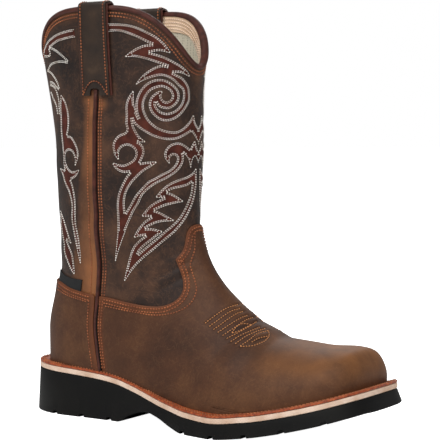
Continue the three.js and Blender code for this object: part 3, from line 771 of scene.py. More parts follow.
def form_solid(name, growth, row_step=8, column_step=2):
    """The whole form as a closed solid, for cutting."""
    rows = np.arange(0, FORM_ROWS - 1, row_step)
    columns = np.arange(0, FORM_COLUMNS, column_step)
    row_grid, column_grid = np.meshgrid(rows, columns, indexing="ij")
    points = on_form(row_grid, column_grid, growth).reshape(-1, 3)
    across = len(columns)
    faces = [
        (r * across + c, r * across + (c + 1) % across,
         (r + 1) * across + (c + 1) % across, (r + 1) * across + c)
        for r in range(len(rows) - 1) for c in range(across)
    ]
    faces = [tuple(reversed(f)) for f in faces]
    faces.append(tuple(range(across)))
    faces.append(tuple(reversed(range(len(points) - across, len(points)))))
    return build_mesh(name, points, faces)


def welt_face_at(x):
    return welt_top_at(x) - WELT_SKIVED


welt = build_mesh("welt_strip", *sole_slab([
    (-0.4, feather_at),
    (0.0, lambda x: feather_at(x) + 0.3),
    (0.0, lambda x: welt_face_at(x) - 0.5),
    (-0.2, lambda x: welt_face_at(x) - 0.15),
    (-0.6, welt_face_at),
]))
cut_with(welt, form_solid("welt_room", COVER + GAP), "DIFFERENCE")
# Vegetable-tanned leather, edge dyed and waxed: orange-brown and satin.
welt_leather = mottled(
    "waxed_veg_tan_leather",
    ("TexNoise", {"size": 3, "Detail": 5.0, "Roughness": 0.65}),
    [(0.25, "#5a240f"), (0.5, "#963f18"), (0.75, "#c4692f")], {"Roughness": 0.5}, (0.3, 0.3),
)
finish_piece(welt, welt_leather, ["welt"])

# The upper: one wall of dark brown oiled leather from the welt to the top line, foot and
# shaft together. The vamp and the counter lie over its foot.
PANEL_FOOT = 84


def tube_faces(rows, columns, start=0):
    """Faces of a grid that closes round the boot, facing outwards."""
    grid = start + np.arange(rows * columns).reshape(rows, columns)
    a, b = grid[:-1], np.roll(grid, -1, axis=1)[:-1]
    c, d = np.roll(grid, -1, axis=1)[1:], grid[1:]
    return np.stack((a, d, c, b), axis=2).reshape(-1, 4)


def between(low, high, shares):
    return low + (high - low) * np.asarray(shares)[:, None]


def sleeve(name, outer, inner):
    """A closed sleeve round the boot from the points of its outer and its inner face."""
    across = outer.shape[1]
    start = len(outer) * across
    top, inner_top = start - across, start + (len(inner) - 1) * across
    here = np.arange(across)
    ahead = (here + 1) % across
    faces = np.vstack((
        tube_faces(len(outer), across),
        tube_faces(len(inner), across, start)[:, ::-1],
        np.column_stack((top + here, inner_top + here, inner_top + ahead, top + ahead)),
        np.column_stack((here, ahead, start + ahead, start + here)),
    ))
    return build_mesh(name, np.vstack((outer.reshape(-1, 3), inner.reshape(-1, 3))), faces)


panel_foot_row = np.maximum(first_row_above(lambda x: PANEL_FOOT + 0 * x), feather_row + 8)
wall_columns = np.arange(FORM_COLUMNS)
FOOT_ROWS, SHAFT_ROWS, LINING_ROWS = 26, 185, 60
outer_rows = np.vstack((
    between(feather_row, panel_foot_row, np.linspace(0, 1, FOOT_ROWS, endpoint=False)),
    between(panel_foot_row, top_row, np.linspace(0, 1, SHAFT_ROWS)),
))
inner_rows = between(feather_row, top_row, np.linspace(0, 1, LINING_ROWS))
column_grid = np.broadcast_to(wall_columns, outer_rows.shape)
outer_face = on_form(outer_rows, column_grid, UPPER_WALL)
inner_face = on_form(inner_rows, np.broadcast_to(wall_columns, inner_rows.shape))
upper = sleeve("upper_wall", outer_face, inner_face)


def scratched(material, under, veins, half_width, strength, colour):
    """Scratches laid over a colour, along the middle values of a noise."""
    stops = [(0.5 - half_width, "#000000"), (0.5, "#ffffff"), (0.5 + half_width, "#000000")]
    scratch = add_node(material, "ValToRGB", {"stops": stops}, {0: veins})
    share = add_node(material, "Math", {"operation": "MULTIPLY", 1: strength}, {0: scratch})
    return add_node(material, "Mix", {"data_type": "RGBA", 7: colour}, {0: share, 6: under})


# Oiled pull-up leather, dark brown: satin, rubbed lighter and redder in soft patches.
shaft_leather = new_material("dark_oiled_leather")
shaft_patches = add_node(
    shaft_leather, "TexNoise", {"size": 38, "Detail": 6.0, "Roughness": 0.6}
)
shaft_colour = add_node(
    shaft_leather, "ValToRGB",
    {"stops": [(0.32, "#180f0d"), (0.5, "#2c1d16"), (0.7, "#513626")]}, {0: shaft_patches},
)
shaft_veins = add_node(
    shaft_leather, "TexNoise",
    {"size": 17, "Detail": 9.0, "Roughness": 0.68, "Distortion": 1.6},
)
shaft_scratched = scratched(shaft_leather, shaft_colour, shaft_veins, 0.015, 0.2, "#8f6344")
# Where the leather is pulled over a seam or an edge it is rubbed orange.
shaft_wear = add_node(shaft_leather, "Attribute", {"attribute_name": "wear"})
shaft_rub = add_node(
    shaft_leather, "MapRange",
    {"From Min": 0.36, "From Max": 0.6, "To Min": 0.45, "To Max": 1.0}, {"Value": shaft_patches},
)
shaft_rubbed = add_node(
    shaft_leather, "Math", {"operation": "MULTIPLY"},
    {0: shaft_wear.outputs["Fac"], 1: shaft_rub},
)
shaft_worn = add_node(
    shaft_leather, "Mix", {"data_type": "RGBA", 7: "#8d5934"},
    {0: shaft_rubbed, 6: shaft_scratched.outputs[2]},
)
shaft_grain = add_node(shaft_leather, "TexVoronoi", {"size": 1.3})
shaft_bump = add_node(
    shaft_leather, "Bump", {"Strength": 0.35, "Distance": 0.2 * MM}, {"Height": shaft_grain}
)
shaft_creased = add_node(
    shaft_leather, "Bump", {"Strength": 0.6, "Distance": 0.5 * MM},
    {"Height": shaft_veins, "Normal": shaft_bump},
)
shaft_surface = add_node(
    shaft_leather, "BsdfPrincipled", {"Roughness": 0.55, "IOR": 1.5, "Specular IOR Level": 0.28},
    {"Base Color": shaft_worn.outputs[2], "Normal": shaft_creased},
)
add_node(shaft_leather, "OutputMaterial", {}, {0: shaft_surface})
finish_piece(upper, shaft_leather, ["upper"])

# The lining: grey-beige mesh cloth inside the wall, and a band of pale tan leather sewn in
# under the top line.
INSOLE_THICKNESS = 4
LINING_OFFSET = 0.3
LINING_THICKNESS = 0.6


def ring_shell(name, low_row, high_row, count, inner_growth, outer_growth, column_step=2):
    """A closed sleeve round the boot between two rows and two growths."""
    columns = np.arange(0, FORM_COLUMNS, column_step)
    rows = between(low_row[columns], high_row[columns], np.linspace(0, 1, count))
    grid = np.broadcast_to(columns, rows.shape)
    return sleeve(name, on_form(rows, grid, outer_growth), on_form(rows, grid, inner_growth))


LINING_BAND_DEPTH = 15
sock_row = first_row_above(lambda x: feather_at(x) + INSOLE_THICKNESS + 1)
below_top_row = first_row_above(lambda x: top_line_at(x) - 2)
band_row = first_row_above(lambda x: top_line_at(x) - LINING_BAND_DEPTH)
sock_growth = -LINING_OFFSET - LINING_THICKNESS
mesh_lining = ring_shell("mesh_lining", sock_row, below_top_row, 70, sock_growth, -LINING_OFFSET)
band_growth = sock_growth - LINING_OFFSET / 2
lining_band = ring_shell(
    "lining_band", band_row, below_top_row, 24, band_growth - LINING_THICKNESS, band_growth
)
# Knitted spacer mesh: grey-beige and matt, its eyelets drawn 2 mm apart so that they show.
EYELET_PITCH = 2.0
spacer_mesh = mottled(
    "knitted_spacer_mesh", ("TexVoronoi", {"size": EYELET_PITCH, "Randomness": 0.25}),
    [(0.12, "#8c8572"), (0.4, "#cfc8b4")], {"Roughness": 0.95}, (0.6, 0.4),
)
finish_piece(mesh_lining, spacer_mesh)
# Pigskin lining leather: pale tan and matt, with its pores in small groups.
pigskin = mottled(
    "pale_pigskin_lining", ("TexNoise", {"size": 14, "Detail": 4.0}),
    [(0.3, "#d2ae8c"), (0.7, "#f0d5b8")], {"Roughness": 0.75},
    (0.25, 0.15), ("TexVoronoi", {"size": 1.4}),
)
finish_piece(lining_band, pigskin)
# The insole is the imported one, covered with the same mesh cloth.
insole_object = bpy.data.objects["insole"]
for slot in insole_object.material_slots:
    slot.material = spacer_mesh

# The foot panels: a vamp with its tongue in front and a counter behind, cut from brown waxed
# pull-up leather and sewn down over the wall. Their top edge is given as seen in the photo's
# frame of 440 by 440, from the tongue's tip back to the heel, and mirrored to the inner side.
PHOTO_SIZE = 440
sight_focal = camera_data.lens / camera_data.sensor_width * PHOTO_SIZE
sight_centre = np.array((
    PHOTO_SIZE * (0.5 - camera_data.shift_x), PHOTO_SIZE * (0.5 + camera_data.shift_y)
))
sight_from = np.array(VIEW_TARGET) + np.array(view_back) * VIEW_DISTANCE / MM
TREE_ROWS = np.arange(0, FORM_ROWS - 1, 3)
TREE_COLUMNS = np.arange(0, FORM_COLUMNS, 2)
tree_row_grid, tree_column_grid = np.meshgrid(TREE_ROWS, TREE_COLUMNS, indexing="ij")
grown_trees = {}


def grown_tree(growth):
    """The form grown by a distance, for finding places on it."""
    if growth not in grown_trees:
        points = on_form(tree_row_grid, tree_column_grid, growth)
        faces = tube_faces(len(TREE_ROWS), len(TREE_COLUMNS)).tolist()
        grown_trees[growth] = (points, BVHTree.FromPolygons(points.reshape(-1, 3).tolist(), faces))
    return grown_trees[growth]


def place_in_face(points, face, spot):
    """Row and column of a spot in one face of a grown tree."""
    r, c = divmod(face, len(TREE_COLUMNS))
    corner = points[r, c]
    up = points[r + 1, c] - corner
    round_ = points[r, (c + 1) % len(TREE_COLUMNS)] - corner
    away = np.array(spot) - corner
    a, b = np.linalg.solve(
        [[up @ up, up @ round_], [up @ round_, round_ @ round_]], [away @ up, away @ round_]
    )
    return TREE_ROWS[r] + 3 * a, TREE_COLUMNS[c] + 2 * b


def where_seen(marks, growth):
    """Rows and columns of marks seen in the photo's frame, on the form grown by a distance."""
    points, tree = grown_tree(growth)
    places = []
    for mark in marks:
        right, down = (np.array(mark) - sight_centre) / sight_focal
        ray = Vector(view_right) * right - Vector(view_up) * down - Vector(view_back)
        spot, _, face, _ = tree.ray_cast(Vector(sight_from), ray)
        if spot is None:
            near = Vector(sight_from) + ray * (VIEW_DISTANCE / MM)
            spot, _, face, _ = tree.find_nearest(near)
        places.append(place_in_face(points, face, spot))
    return np.array(places)


def settled(spots, growth):
    """Rows and columns of the places on the grown form that lie nearest to spots."""
    points, tree = grown_tree(growth)
    places = []
    for spot in spots:
        near, _, face, _ = tree.find_nearest(Vector(spot))
        places.append(place_in_face(points, face, near))
    return np.array(places)


def through(points, step):
    """A smooth curve through points, as points about a step apart."""
    points = np.asarray(points, float)
    if len(points) == 2:
        count = max(2, int(np.linalg.norm(points[1] - points[0]) / step) + 1)
        return points[0] + (points[1] - points[0]) * np.linspace(0, 1, count)[:, None]
    run = np.concatenate(([0], np.cumsum(np.linalg.norm(np.diff(points, axis=0), axis=1))))
    gap = np.diff(run)[:, None]
    rise = np.diff(points, axis=0) / gap
    slope = np.empty_like(points)
    slope[0], slope[-1] = rise[0], rise[-1]
    slope[1:-1] = (rise[:-1] * gap[1:] + rise[1:] * gap[:-1]) / (gap[:-1] + gap[1:])
    at = np.linspace(0, run[-1], max(3, int(run[-1] / step) + 1))
    i = np.clip(np.searchsorted(run, at, side="right") - 1, 0, len(run) - 2)
    t = ((at - run[i]) / (run[i + 1] - run[i]))[:, None]
    return cubic(t, gap[i], points, slope, i)


TONGUE_EDGE = [(196.3, 224.6), (191.5, 227.3), (188.0, 231.9), (185.8, 240.5), (183.6, 248.8),
               (180.4, 253.8), (175.5, 259.2)]
SIDE_EDGE = [(175.5, 259.2), (177.5, 264.7), (180.4, 272.0), (182.8, 280.5), (183.0, 288.5),
             (180.3, 295.5), (175.5, 300.3), (163.0, 305.8), (146.5, 306.0), (130.1, 303.3),
             (106.4, 297.6), (88.4, 294.3), (79.9, 291.7), (68.5, 287.4), (59.5, 281.0)]
COUNTER_BACK_HEIGHT = 109
counter_back_row = np.interp(
    COUNTER_BACK_HEIGHT, form_points[:, FORM_SIDE, 2], np.arange(FORM_ROWS)
)
outer_edge = np.vstack((
    where_seen(through(TONGUE_EDGE, 1.0), COVER),
    where_seen(through(SIDE_EDGE, 1.0), COVER)[1:],
    [(counter_back_row, FORM_SIDE)],
))
outer_edge[0, 1] = 0
# Columns are counted from the front, outer side positive and inner side negative.
panel_edge = np.vstack((outer_edge[:0:-1] * (1, -1), outer_edge))
panel_edge_line = on_form(panel_edge[:, 0], panel_edge[:, 1], COVER)
BELOW_FORM = -50
panel_region = np.vstack((panel_edge, [(BELOW_FORM, FORM_SIDE), (BELOW_FORM, -FORM_SIDE)]))


def inside_of(outline, rows, columns):
    """Whether places lie inside a closed outline of rows and columns."""
    inside = np.zeros(rows.shape, bool)
    for (r0, c0), (r1, c1) in zip(outline, np.roll(outline, -1, axis=0)):
        if c0 != c1:
            crosses = (c0 > columns) != (c1 > columns)
            inside ^= crosses & (rows < (r1 - r0) * (columns - c0) / (c1 - c0) + r0)
    return inside


def distance_to(line, points):
    """How far points lie from a line of points joined up."""
    nearest = np.full(points.shape[:-1], np.inf)
    for a, b in zip(line[:-1], line[1:]):
        along = b - a
        length = along @ along
        if length > 0:
            share = np.clip(((points - a) @ along) / length, 0, 1)
            away = points - a - share[..., None] * along
            nearest = np.minimum(nearest, np.sum(away ** 2, axis=-1))
    return np.sqrt(nearest)


def corners_of(grid):
    """The four corners of every cell of a grid."""
    return grid[:-1, :-1], grid[1:, :-1], grid[1:, 1:], grid[:-1, 1:]


def clip_sheet(rows, columns, field, *carried):
    """The part of a patch of places where a field is positive, with values carried along."""
    keep = field > 0
    ids = np.full(field.shape, -1)
    ids[keep] = np.arange(keep.sum())
    layers = [rows, columns, *carried]
    kept = [list(layer[keep]) for layer in layers]
    crossings = {}

    def crossing(a, b):
        key = (a, b) if a < b else (b, a)
        if key not in crossings:
            p, q = key
            share = field[p] / (field[p] - field[q])
            crossings[key] = len(kept[0])
            for values, layer in zip(kept, layers):
                values.append(layer[p] + (layer[q] - layer[p]) * share)
        return crossings[key]

    whole = np.all(corners_of(keep), axis=0)
    faces = np.column_stack([corner[whole] for corner in corners_of(ids)]).tolist()
    mixed = np.any(corners_of(keep), axis=0) & ~whole
    for r, c in zip(*np.nonzero(mixed)):
        corners = ((r, c), (r + 1, c), (r + 1, c + 1), (r, c + 1))
        polygon = []
        for a, b in zip(corners, corners[1:] + corners[:1]):
            if keep[a]:
                polygon.append(ids[a])
            if keep[a] != keep[b]:
                polygon.append(crossing(a, b))
        if len(polygon) > 2:
            faces.append(polygon)
    return [np.array(values) for values in kept], faces


def skin_piece(name, rows, columns, faces, inner_growth, outer_growth, attributes=None):
    """A closed skin between two growths over a sheet of places, with walls round its rim."""
    count = len(rows)
    rim = set()
    for face in faces:
        for a, b in zip(face, face[1:] + face[:1]):
            if (b, a) in rim:
                rim.remove((b, a))
            else:
                rim.add((a, b))
    skin = [tuple(face) for face in faces]
    skin += [tuple(count + i for i in reversed(face)) for face in faces]
    skin += [(b, a, count + a, count + b) for a, b in sorted(rim)]
    points = np.vstack((on_form(rows, columns, outer_growth), on_form(rows, columns, inner_growth)))
    doubled = {key: np.tile(values, 2) for key, values in (attributes or {}).items()}
    return build_mesh(name, points, skin, doubled)


# The side seam: how far it lies from the back of the sole, by height.
SEAM_LINE = table("height back", [
    (0.0, 0.95),
    (0.06, 0.915),
    (0.12, 0.895),
    (0.18, 0.915),
    (0.3, 0.96),
    (0.5, 0.972),
    (0.68, 0.995),
    (0.76, 1.02),
    (1.0, 1.025),
])
SEAM_BACK = {"lateral": 0, "medial": 6}
PIPING_WIDTH = 3.6


def seam_at(z, side):
    height = (np.asarray(z, float) - HEEL_SEAT) / SHAFT_HEIGHT
    return SEAM_SETBACK * value_at(SEAM_LINE, "back", "height", height) - SEAM_BACK[side]


SOFT_EDGE = 1.1
EDGE_DROP = 0.45


def round_boot(columns, rows):
    """Rows between those of the form's columns, which close round the boot."""
    closed = np.append(rows, rows[0])
    return np.interp(np.mod(columns, FORM_COLUMNS), np.arange(FORM_COLUMNS + 1), closed)


def panel_sheet(low_column, high_column, column_count, top_height, row_count, ahead):
    """One foot panel's places and faces, in front of the side seams or behind them."""
    columns = np.linspace(low_column, high_column, column_count)
    low = round_boot(columns, feather_row)
    high = round_boot(columns, first_row_above(lambda x: top_height + 0 * x))
    rows = between(low, high, np.linspace(0, 1, row_count))
    grid = np.broadcast_to(columns, rows.shape)
    points = on_form(rows, grid, COVER)
    signed = np.where(grid > FORM_SIDE, grid - FORM_COLUMNS, grid)
    inside = inside_of(panel_region, rows, signed)
    edge = distance_to(panel_edge_line, points) * np.where(inside, 1, -1)
    z = points[..., 2]
    seam_x = np.where(signed >= 0, seam_at(z, "lateral"), seam_at(z, "medial"))
    seam = (points[..., 0] - seam_x) * (1 if ahead else -1) - PIPING_WIDTH / 2 - GAP
    inset = np.minimum(edge, seam)
    return clip_sheet(rows, grid.astype(float), inset, inset)


def edge_growth(inset):
    """The outer growth of a panel, eased down over its cut edge."""
    return COVER - EDGE_DROP * (1 - np.clip(inset / SOFT_EDGE, 0, 1)) ** 2


# Rows sewn tight across the vamp rise from each side to its middle, and the leather puckers
# between them. Marks are in the photo's frame.
TOE_ROWS = [
    [(204.4, 323.3), (213.0, 316.8), (226.5, 307.9), (238.4, 304.0)],
    [(208.6, 326.5), (219.0, 319.0), (231.4, 310.7), (240.5, 308.0)],
    [(212.8, 329.6), (220.2, 324.4), (229.5, 317.6), (238.4, 312.5), (243.5, 311.0)],
    [(217.0, 332.5), (229.3, 324.4), (241.2, 317.4), (248.0, 314.8)],
    [(221.9, 335.6), (233.5, 327.9), (249.0, 318.4), (253.5, 317.0)],
    [(231.4, 332.8), (239.1, 324.4), (249.0, 323.7), (251.8, 324.7)],
    [(231.4, 332.8), (240.0, 330.2), (248.3, 325.8), (251.8, 324.7)],
    [(226.1, 338.4), (238.0, 332.2), (251.0, 324.9), (257.0, 321.2)],
    [(230.0, 341.6), (239.1, 335.6), (250.0, 330.6), (260.2, 326.5)],
    [(234.6, 343.7), (246.1, 335.6), (256.0, 331.0), (265.8, 327.9)],
    [(239.5, 346.1), (249.6, 339.1), (256.7, 333.5), (268.6, 330.0)],
    [(239.5, 346.1), (253.2, 345.1), (260.2, 342.6), (265.8, 339.8), (269.3, 334.9), (268.6, 330.0)],
    [(251.1, 341.9), (258.0, 338.0), (267.9, 335.6)],
]
TOE_GROOVE = 0.75
TOE_GROOVE_HALF_WIDTH = 1.0
TOE_LEAVES = [
    [(233.4, 331.0), (238.4, 327.4), (243.5, 326.2), (248.4, 325.2)],
    [(254.0, 340.4), (259.5, 338.6), (265.0, 336.8)],
]
TOE_LEAF_DEPTH = 0.9
TOE_LEAF_HALF_WIDTH = 2.2


def toe_places(marks):
    """Places on the vamp of marks in the photo's frame, kept on the outer side."""
    places = where_seen(through(marks, 1.0), COVER)
    places[:, 1] = np.where(places[:, 1] > FORM_SIDE, 0, places[:, 1])
    return places


def drawn_in(points, lines, depth, half_width):
    """How deep each point is drawn in by the nearest of the lines, on both sides of the vamp."""
    marks = np.vstack([toe_places(line) for line in lines])
    marks = np.vstack((marks, marks * (1, -1)))
    sewn = on_form(marks[:, 0], marks[:, 1], COVER)
    tree = KDTree(len(sewn))
    for k, point in enumerate(sewn):
        tree.insert(point, k)
    tree.balance()
    away = np.array([tree.find(point)[2] for point in points])
    return depth * np.exp(-(away / half_width) ** 2)


# Each panel's sheet: its first and last column, its columns, its top height and its rows.
VAMP_SHEET = (-118, 118, 190, 158, 210)
COUNTER_SHEET = (66, 254, 150, 114, 70)
(vamp_rows, vamp_columns, vamp_inset), vamp_faces = panel_sheet(*VAMP_SHEET, True)
vamp_face = on_form(vamp_rows, vamp_columns, COVER)
vamp_pucker = drawn_in(vamp_face, TOE_ROWS, TOE_GROOVE, TOE_GROOVE_HALF_WIDTH)
vamp_pucker = np.maximum(
    vamp_pucker, drawn_in(vamp_face, TOE_LEAVES, TOE_LEAF_DEPTH, TOE_LEAF_HALF_WIDTH)
)
# The pucker depth is also kept on the points, where the material paints shade into the grooves.
vamp = skin_piece(
    "vamp_panel", vamp_rows, vamp_columns, vamp_faces, UPPER_WALL + GAP,
    edge_growth(vamp_inset) - vamp_pucker, {"inset": vamp_inset, "pucker": vamp_pucker},
)
(back_rows, back_columns, back_inset), back_faces = panel_sheet(*COUNTER_SHEET, False)
counter = skin_piece(
    "counter_panel", back_rows, back_columns, back_faces, UPPER_WALL + GAP,
    edge_growth(back_inset), {"inset": back_inset},
)
# Waxed pull-up leather, brown and satin: cloudy, with fine scratches that turn lighter and cut
# edges that have worn orange. Painted highlight over the toe's top, painted shade in the puckers.
foot_leather = new_material("waxed_pull_up_leather")
foot_clouds = add_node(
    foot_leather, "TexNoise", {"size": 48, "Detail": 8.0, "Roughness": 0.6}
)
foot_colour = add_node(
    foot_leather, "ValToRGB",
    {"stops": [(0.3, "#382115"), (0.5, "#4c2e1c"), (0.72, "#634026")]}, {0: foot_clouds},
)
foot_speckle = add_node(foot_leather, "TexNoise", {"size": 1.6, "Detail": 3.0})
foot_speckled = add_node(
    foot_leather, "Mix", {"data_type": "RGBA", "blend_type": "OVERLAY", 0: 0.3},
    {6: foot_colour, 7: foot_speckle},
)
# Painted highlight: the colour is lightened over the toe, most on its top and in cloudy patches, as if
# lit from above.
foot_place = add_node(foot_leather, "TexCoord")
foot_split = add_node(foot_leather, "SeparateXYZ", {}, {0: foot_place.outputs["Object"]})
toe_highlight_reach = add_node(
    foot_leather, "MapRange", {"From Min": 0.05, "From Max": 0.12, "To Min": 0.0, "To Max": 0.95},
    {"Value": foot_split.outputs["X"]},
)
toe_highlight_height = add_node(
    foot_leather, "MapRange",
    {"From Min": 0.042, "From Max": 0.072, "To Min": 0.12, "To Max": 1.0},
    {"Value": foot_split.outputs["Z"]},
)
toe_highlight_patches = add_node(
    foot_leather, "MapRange", {"From Min": 0.3, "From Max": 0.62, "To Min": 0.35, "To Max": 1.0},
    {"Value": foot_clouds},
)
toe_highlight_top = add_node(
    foot_leather, "Math", {"operation": "MULTIPLY"}, {0: toe_highlight_reach, 1: toe_highlight_height}
)
toe_highlight_share = add_node(
    foot_leather, "Math", {"operation": "MULTIPLY"}, {0: toe_highlight_top, 1: toe_highlight_patches}
)
foot_toe_highlighted = add_node(
    foot_leather, "Mix", {"data_type": "RGBA", 7: "#9c6638"},
    {0: toe_highlight_share, 6: foot_speckled.outputs[2]},
)
foot_veins = add_node(
    foot_leather, "TexNoise",
    {"size": 24, "Detail": 9.0, "Roughness": 0.65, "Distortion": 2.0},
)
foot_scratched = scratched(
    foot_leather, foot_toe_highlighted.outputs[2], foot_veins, 0.012, 0.08, "#b98a5c"
)
foot_inset = add_node(foot_leather, "Attribute", {"attribute_name": "inset"})
foot_wear = add_node(
    foot_leather, "MapRange", {"From Min": 0.8, "From Max": 6.4, "To Min": 0.6, "To Max": 0.0},
    {"Value": foot_inset.outputs["Fac"]},
)
foot_worn = add_node(
    foot_leather, "Mix", {"data_type": "RGBA", 7: "#703c20"},
    {0: foot_wear, 6: foot_scratched.outputs[2]},
)
# Painted shade: the colour is darkened to near black in the pucker grooves, where shade falls.
foot_pucker = add_node(foot_leather, "Attribute", {"attribute_name": "pucker"})
pucker_painted_shade = add_node(
    foot_leather, "MapRange", {"From Min": 0.1, "From Max": 0.8, "To Min": 0.0, "To Max": 0.7},
    {"Value": foot_pucker.outputs["Fac"]},
)
foot_with_painted_shade = add_node(
    foot_leather, "Mix", {"data_type": "RGBA", 7: "#26160f"},
    {0: pucker_painted_shade, 6: foot_worn.outputs[2]},
)
foot_pores = add_node(foot_leather, "TexVoronoi", {"size": 1.1})
foot_bump = add_node(
    foot_leather, "Bump", {"Strength": 0.2, "Distance": 0.15 * MM}, {"Height": foot_pores}
)
foot_surface = add_node(
    foot_leather, "BsdfPrincipled", {"Roughness": 0.6, "IOR": 1.5, "Specular IOR Level": 0.25},
    {"Base Color": foot_with_painted_shade.outputs[2], "Normal": foot_bump},
)
add_node(foot_leather, "OutputMaterial", {}, {0: foot_surface})
finish_piece(vamp, foot_leather, ["vamp"])
finish_piece(counter, foot_leather, ["heel_counter"])

# The side piping: a strip of dark red-brown leather folded over a cord and sewn into each
# side seam, from the welt to the foot of the pull loop.
PIPING_THICKNESS = 2.6
LOOP_CROWN = 1.2
LOOP_THICKNESS = 2.2
LOOP_LENGTH = 72
BINDING_THICKNESS = 1.2
LOOP_FOOT = TOP_LINE + GAP + BINDING_THICKNESS + LOOP_CROWN + LOOP_THICKNESS - LOOP_LENGTH
PIPING_ARC = 12
PIPING_STEPS = 150


PIPING_UNDER_LOOP = 4.6


def seam_strip(name, side, section):
    """A strip along a side seam. Its section gives, for heights, distances ahead and growths."""
    foot_z = float(welt_face_at(seam_at(HEEL_SEAT, side) - PIPING_WIDTH)) + GAP
    heights = np.linspace(foot_z, LOOP_FOOT + PIPING_UNDER_LOOP, PIPING_STEPS)[:, None]
    across, growths = section(heights)
    rows, columns = from_side(seam_at(heights, side) + across, heights + 0 * across, side)
    points = on_form(rows, columns, np.broadcast_to(growths, rows.shape)).reshape(-1, 3)
    faces = swept_faces(PIPING_STEPS, len(across))
    if side == "medial":
        faces = [face[::-1] for face in faces]
    return build_mesh(name + side, points, faces)


PIPING_ROLL = 0.86
PIPING_SET_BACK = 0.3
PIPING_SUNK = 0.5
PIPING_PRESSED = 1.3
PIPING_ROUNDNESS = 0.8
PRESSED_OVER = 2


def piping_section(heights):
    """The rolled cord, pressed flatter where it runs under the loop."""
    angles = np.linspace(0, math.pi, PIPING_ARC)
    under_loop = np.clip((heights - LOOP_FOOT + GAP) / PRESSED_OVER, 0, 1)
    height = PIPING_THICKNESS - PIPING_SUNK - PIPING_PRESSED * under_loop
    growths = UPPER_WALL + GAP + height * np.sin(angles) ** PIPING_ROUNDNESS
    return np.cos(angles) * PIPING_WIDTH / 2 * PIPING_ROLL - PIPING_SET_BACK, growths


piping = {side: seam_strip("piping_", side, piping_section) for side in SIDES}
# Garment-weight leather, dyed dark red-brown and finished smooth: a soft satin sheen.
trim_leather = mottled(
    "smooth_dyed_trim_leather", ("TexNoise", {"size": 5, "Detail": 5.0}),
    [(0.3, "#351b15"), (0.7, "#532a21")], {"Roughness": 0.5, "Specular IOR Level": 0.25},
    (0.2, 0.2),
)
# A painted shadow: a thin near-black strip laid flat in front of the cord, where the groove beside the
# piping lies in shade.
SHADOW_STRIP_FROM, SHADOW_STRIP_TO = 1.0, 2.1
SHADOW_STRIP_THICKNESS = 0.35
SHADOW_STRIP_STEP_HEIGHT = 96
# Painted shadow: almost black, and dull.
shadow_strip_paint = plain("painted_shadow_black", {
    "Base Color": "#120c0a", "Roughness": 0.85, "IOR": 1.5, "Specular IOR Level": 0.15,
})
SHADOW_STRIP_STEP_OVER = 8
SHADOW_STRIP_SUNK = 0.2


def shadow_strip_section(heights):
    """The flat strip of painted shadow, a step higher where it lies over the foot panels."""
    over_panel = np.clip((SHADOW_STRIP_STEP_HEIGHT - heights) / SHADOW_STRIP_STEP_OVER, 0, 1)
    high = UPPER_WALL + SHADOW_STRIP_THICKNESS + (COVER - UPPER_WALL - SHADOW_STRIP_SUNK) * over_panel
    growths = np.where(np.array((0, 1, 1, 0)), high, high - SHADOW_STRIP_THICKNESS)
    return np.array((SHADOW_STRIP_TO, SHADOW_STRIP_TO, SHADOW_STRIP_FROM, SHADOW_STRIP_FROM)), growths


# Each side gets its strip of painted shadow beside the piping.
for side in SIDES:
    shadow_strip = seam_strip("piping_painted_shadow_", side, shadow_strip_section)
    finish_piece(shadow_strip, shadow_strip_paint)

# The shaft's leather, worn beside the seams and under the top line.
SEAM_WORN_HEIGHTS = (95, 215)
SEAM_WORN_BEHIND = (32, 13)
SEAM_WORN_AHEAD = 3
TOP_WORN = 11
WORN_ABOVE_FOOT = 8
WORN_FADE = 12
# How worn it is, as shares: ahead of the seam, in the spots, and under the top behind and in front.
AHEAD_WEAR = 0.5
RUB_WEAR = 0.9
TOP_WEAR = (0.42, 0.2)
# Rubbed spots at the loop's foot: how far ahead of the seam, how far below the foot, and size.
LOOP_RUBS = [(-9.5, 2.0, 5.0), (5.0, 7.0, 4.0), (-2.5, 12.0, 3.0)]
wall_points = np.vstack((outer_face.reshape(-1, 3), inner_face.reshape(-1, 3)))
wall_wear = np.zeros(len(wall_points))
for side, sign in SIDES.items():
    ahead_of_seam = wall_points[:, 0] - seam_at(wall_points[:, 2], side)
    worn_width = np.interp(wall_points[:, 2], SEAM_WORN_HEIGHTS, SEAM_WORN_BEHIND)
    behind = np.clip(1 + ahead_of_seam / worn_width, 0, 1) * (ahead_of_seam <= 0)
    before = np.exp(-(ahead_of_seam / SEAM_WORN_AHEAD) ** 2) * (ahead_of_seam > 0)
    below_loop = np.clip((LOOP_FOOT + WORN_ABOVE_FOOT - wall_points[:, 2]) / WORN_FADE, 0, 1)
    share = (behind * (2 - behind) + AHEAD_WEAR * before) * below_loop
    for ahead, drop, size in LOOP_RUBS:
        away = np.hypot(ahead_of_seam - ahead, wall_points[:, 2] - LOOP_FOOT + drop)
        share = share + RUB_WEAR * np.exp(-(away / size) ** 2)
    wall_wear = np.maximum(wall_wear, np.where(sign * wall_points[:, 1] > 0, share, 0))
under_top = top_line_at(wall_points[:, 0]) - wall_points[:, 2]
top_share = np.where(wall_points[:, 0] < SEAM_SETBACK, *TOP_WEAR)
wall_wear = np.maximum(wall_wear, top_share * np.clip(1 - under_top / TOP_WORN, 0, 1))
upper.data.attributes.new("wear", "FLOAT", "POINT").data.foreach_set(
    "value", wall_wear.astype(np.float32)
)
finish_piece(piping["lateral"], trim_leather, ["side_piping_outer"])
finish_piece(piping["medial"], trim_leather, ["side_piping_inner"])

# The top binding: a strip of the same trim leather folded over the scalloped edge and sewn
# through. It follows the top line on the shaft laid flat, where widths stay true.
half_run = np.stack((
    np.sum(np.linalg.norm(np.diff(form_points[:, :FORM_SIDE + 1], axis=1), axis=2), axis=1),
    np.sum(np.linalg.norm(np.diff(
        np.concatenate((form_points[:, FORM_SIDE:], form_points[:, :1]), axis=1), axis=1
    ), axis=2), axis=1),
), axis=1)
form_heights = form_points[:, :, 2:]
row_rise = np.gradient(form_points[:, :, 2], axis=0)[:, :, None]


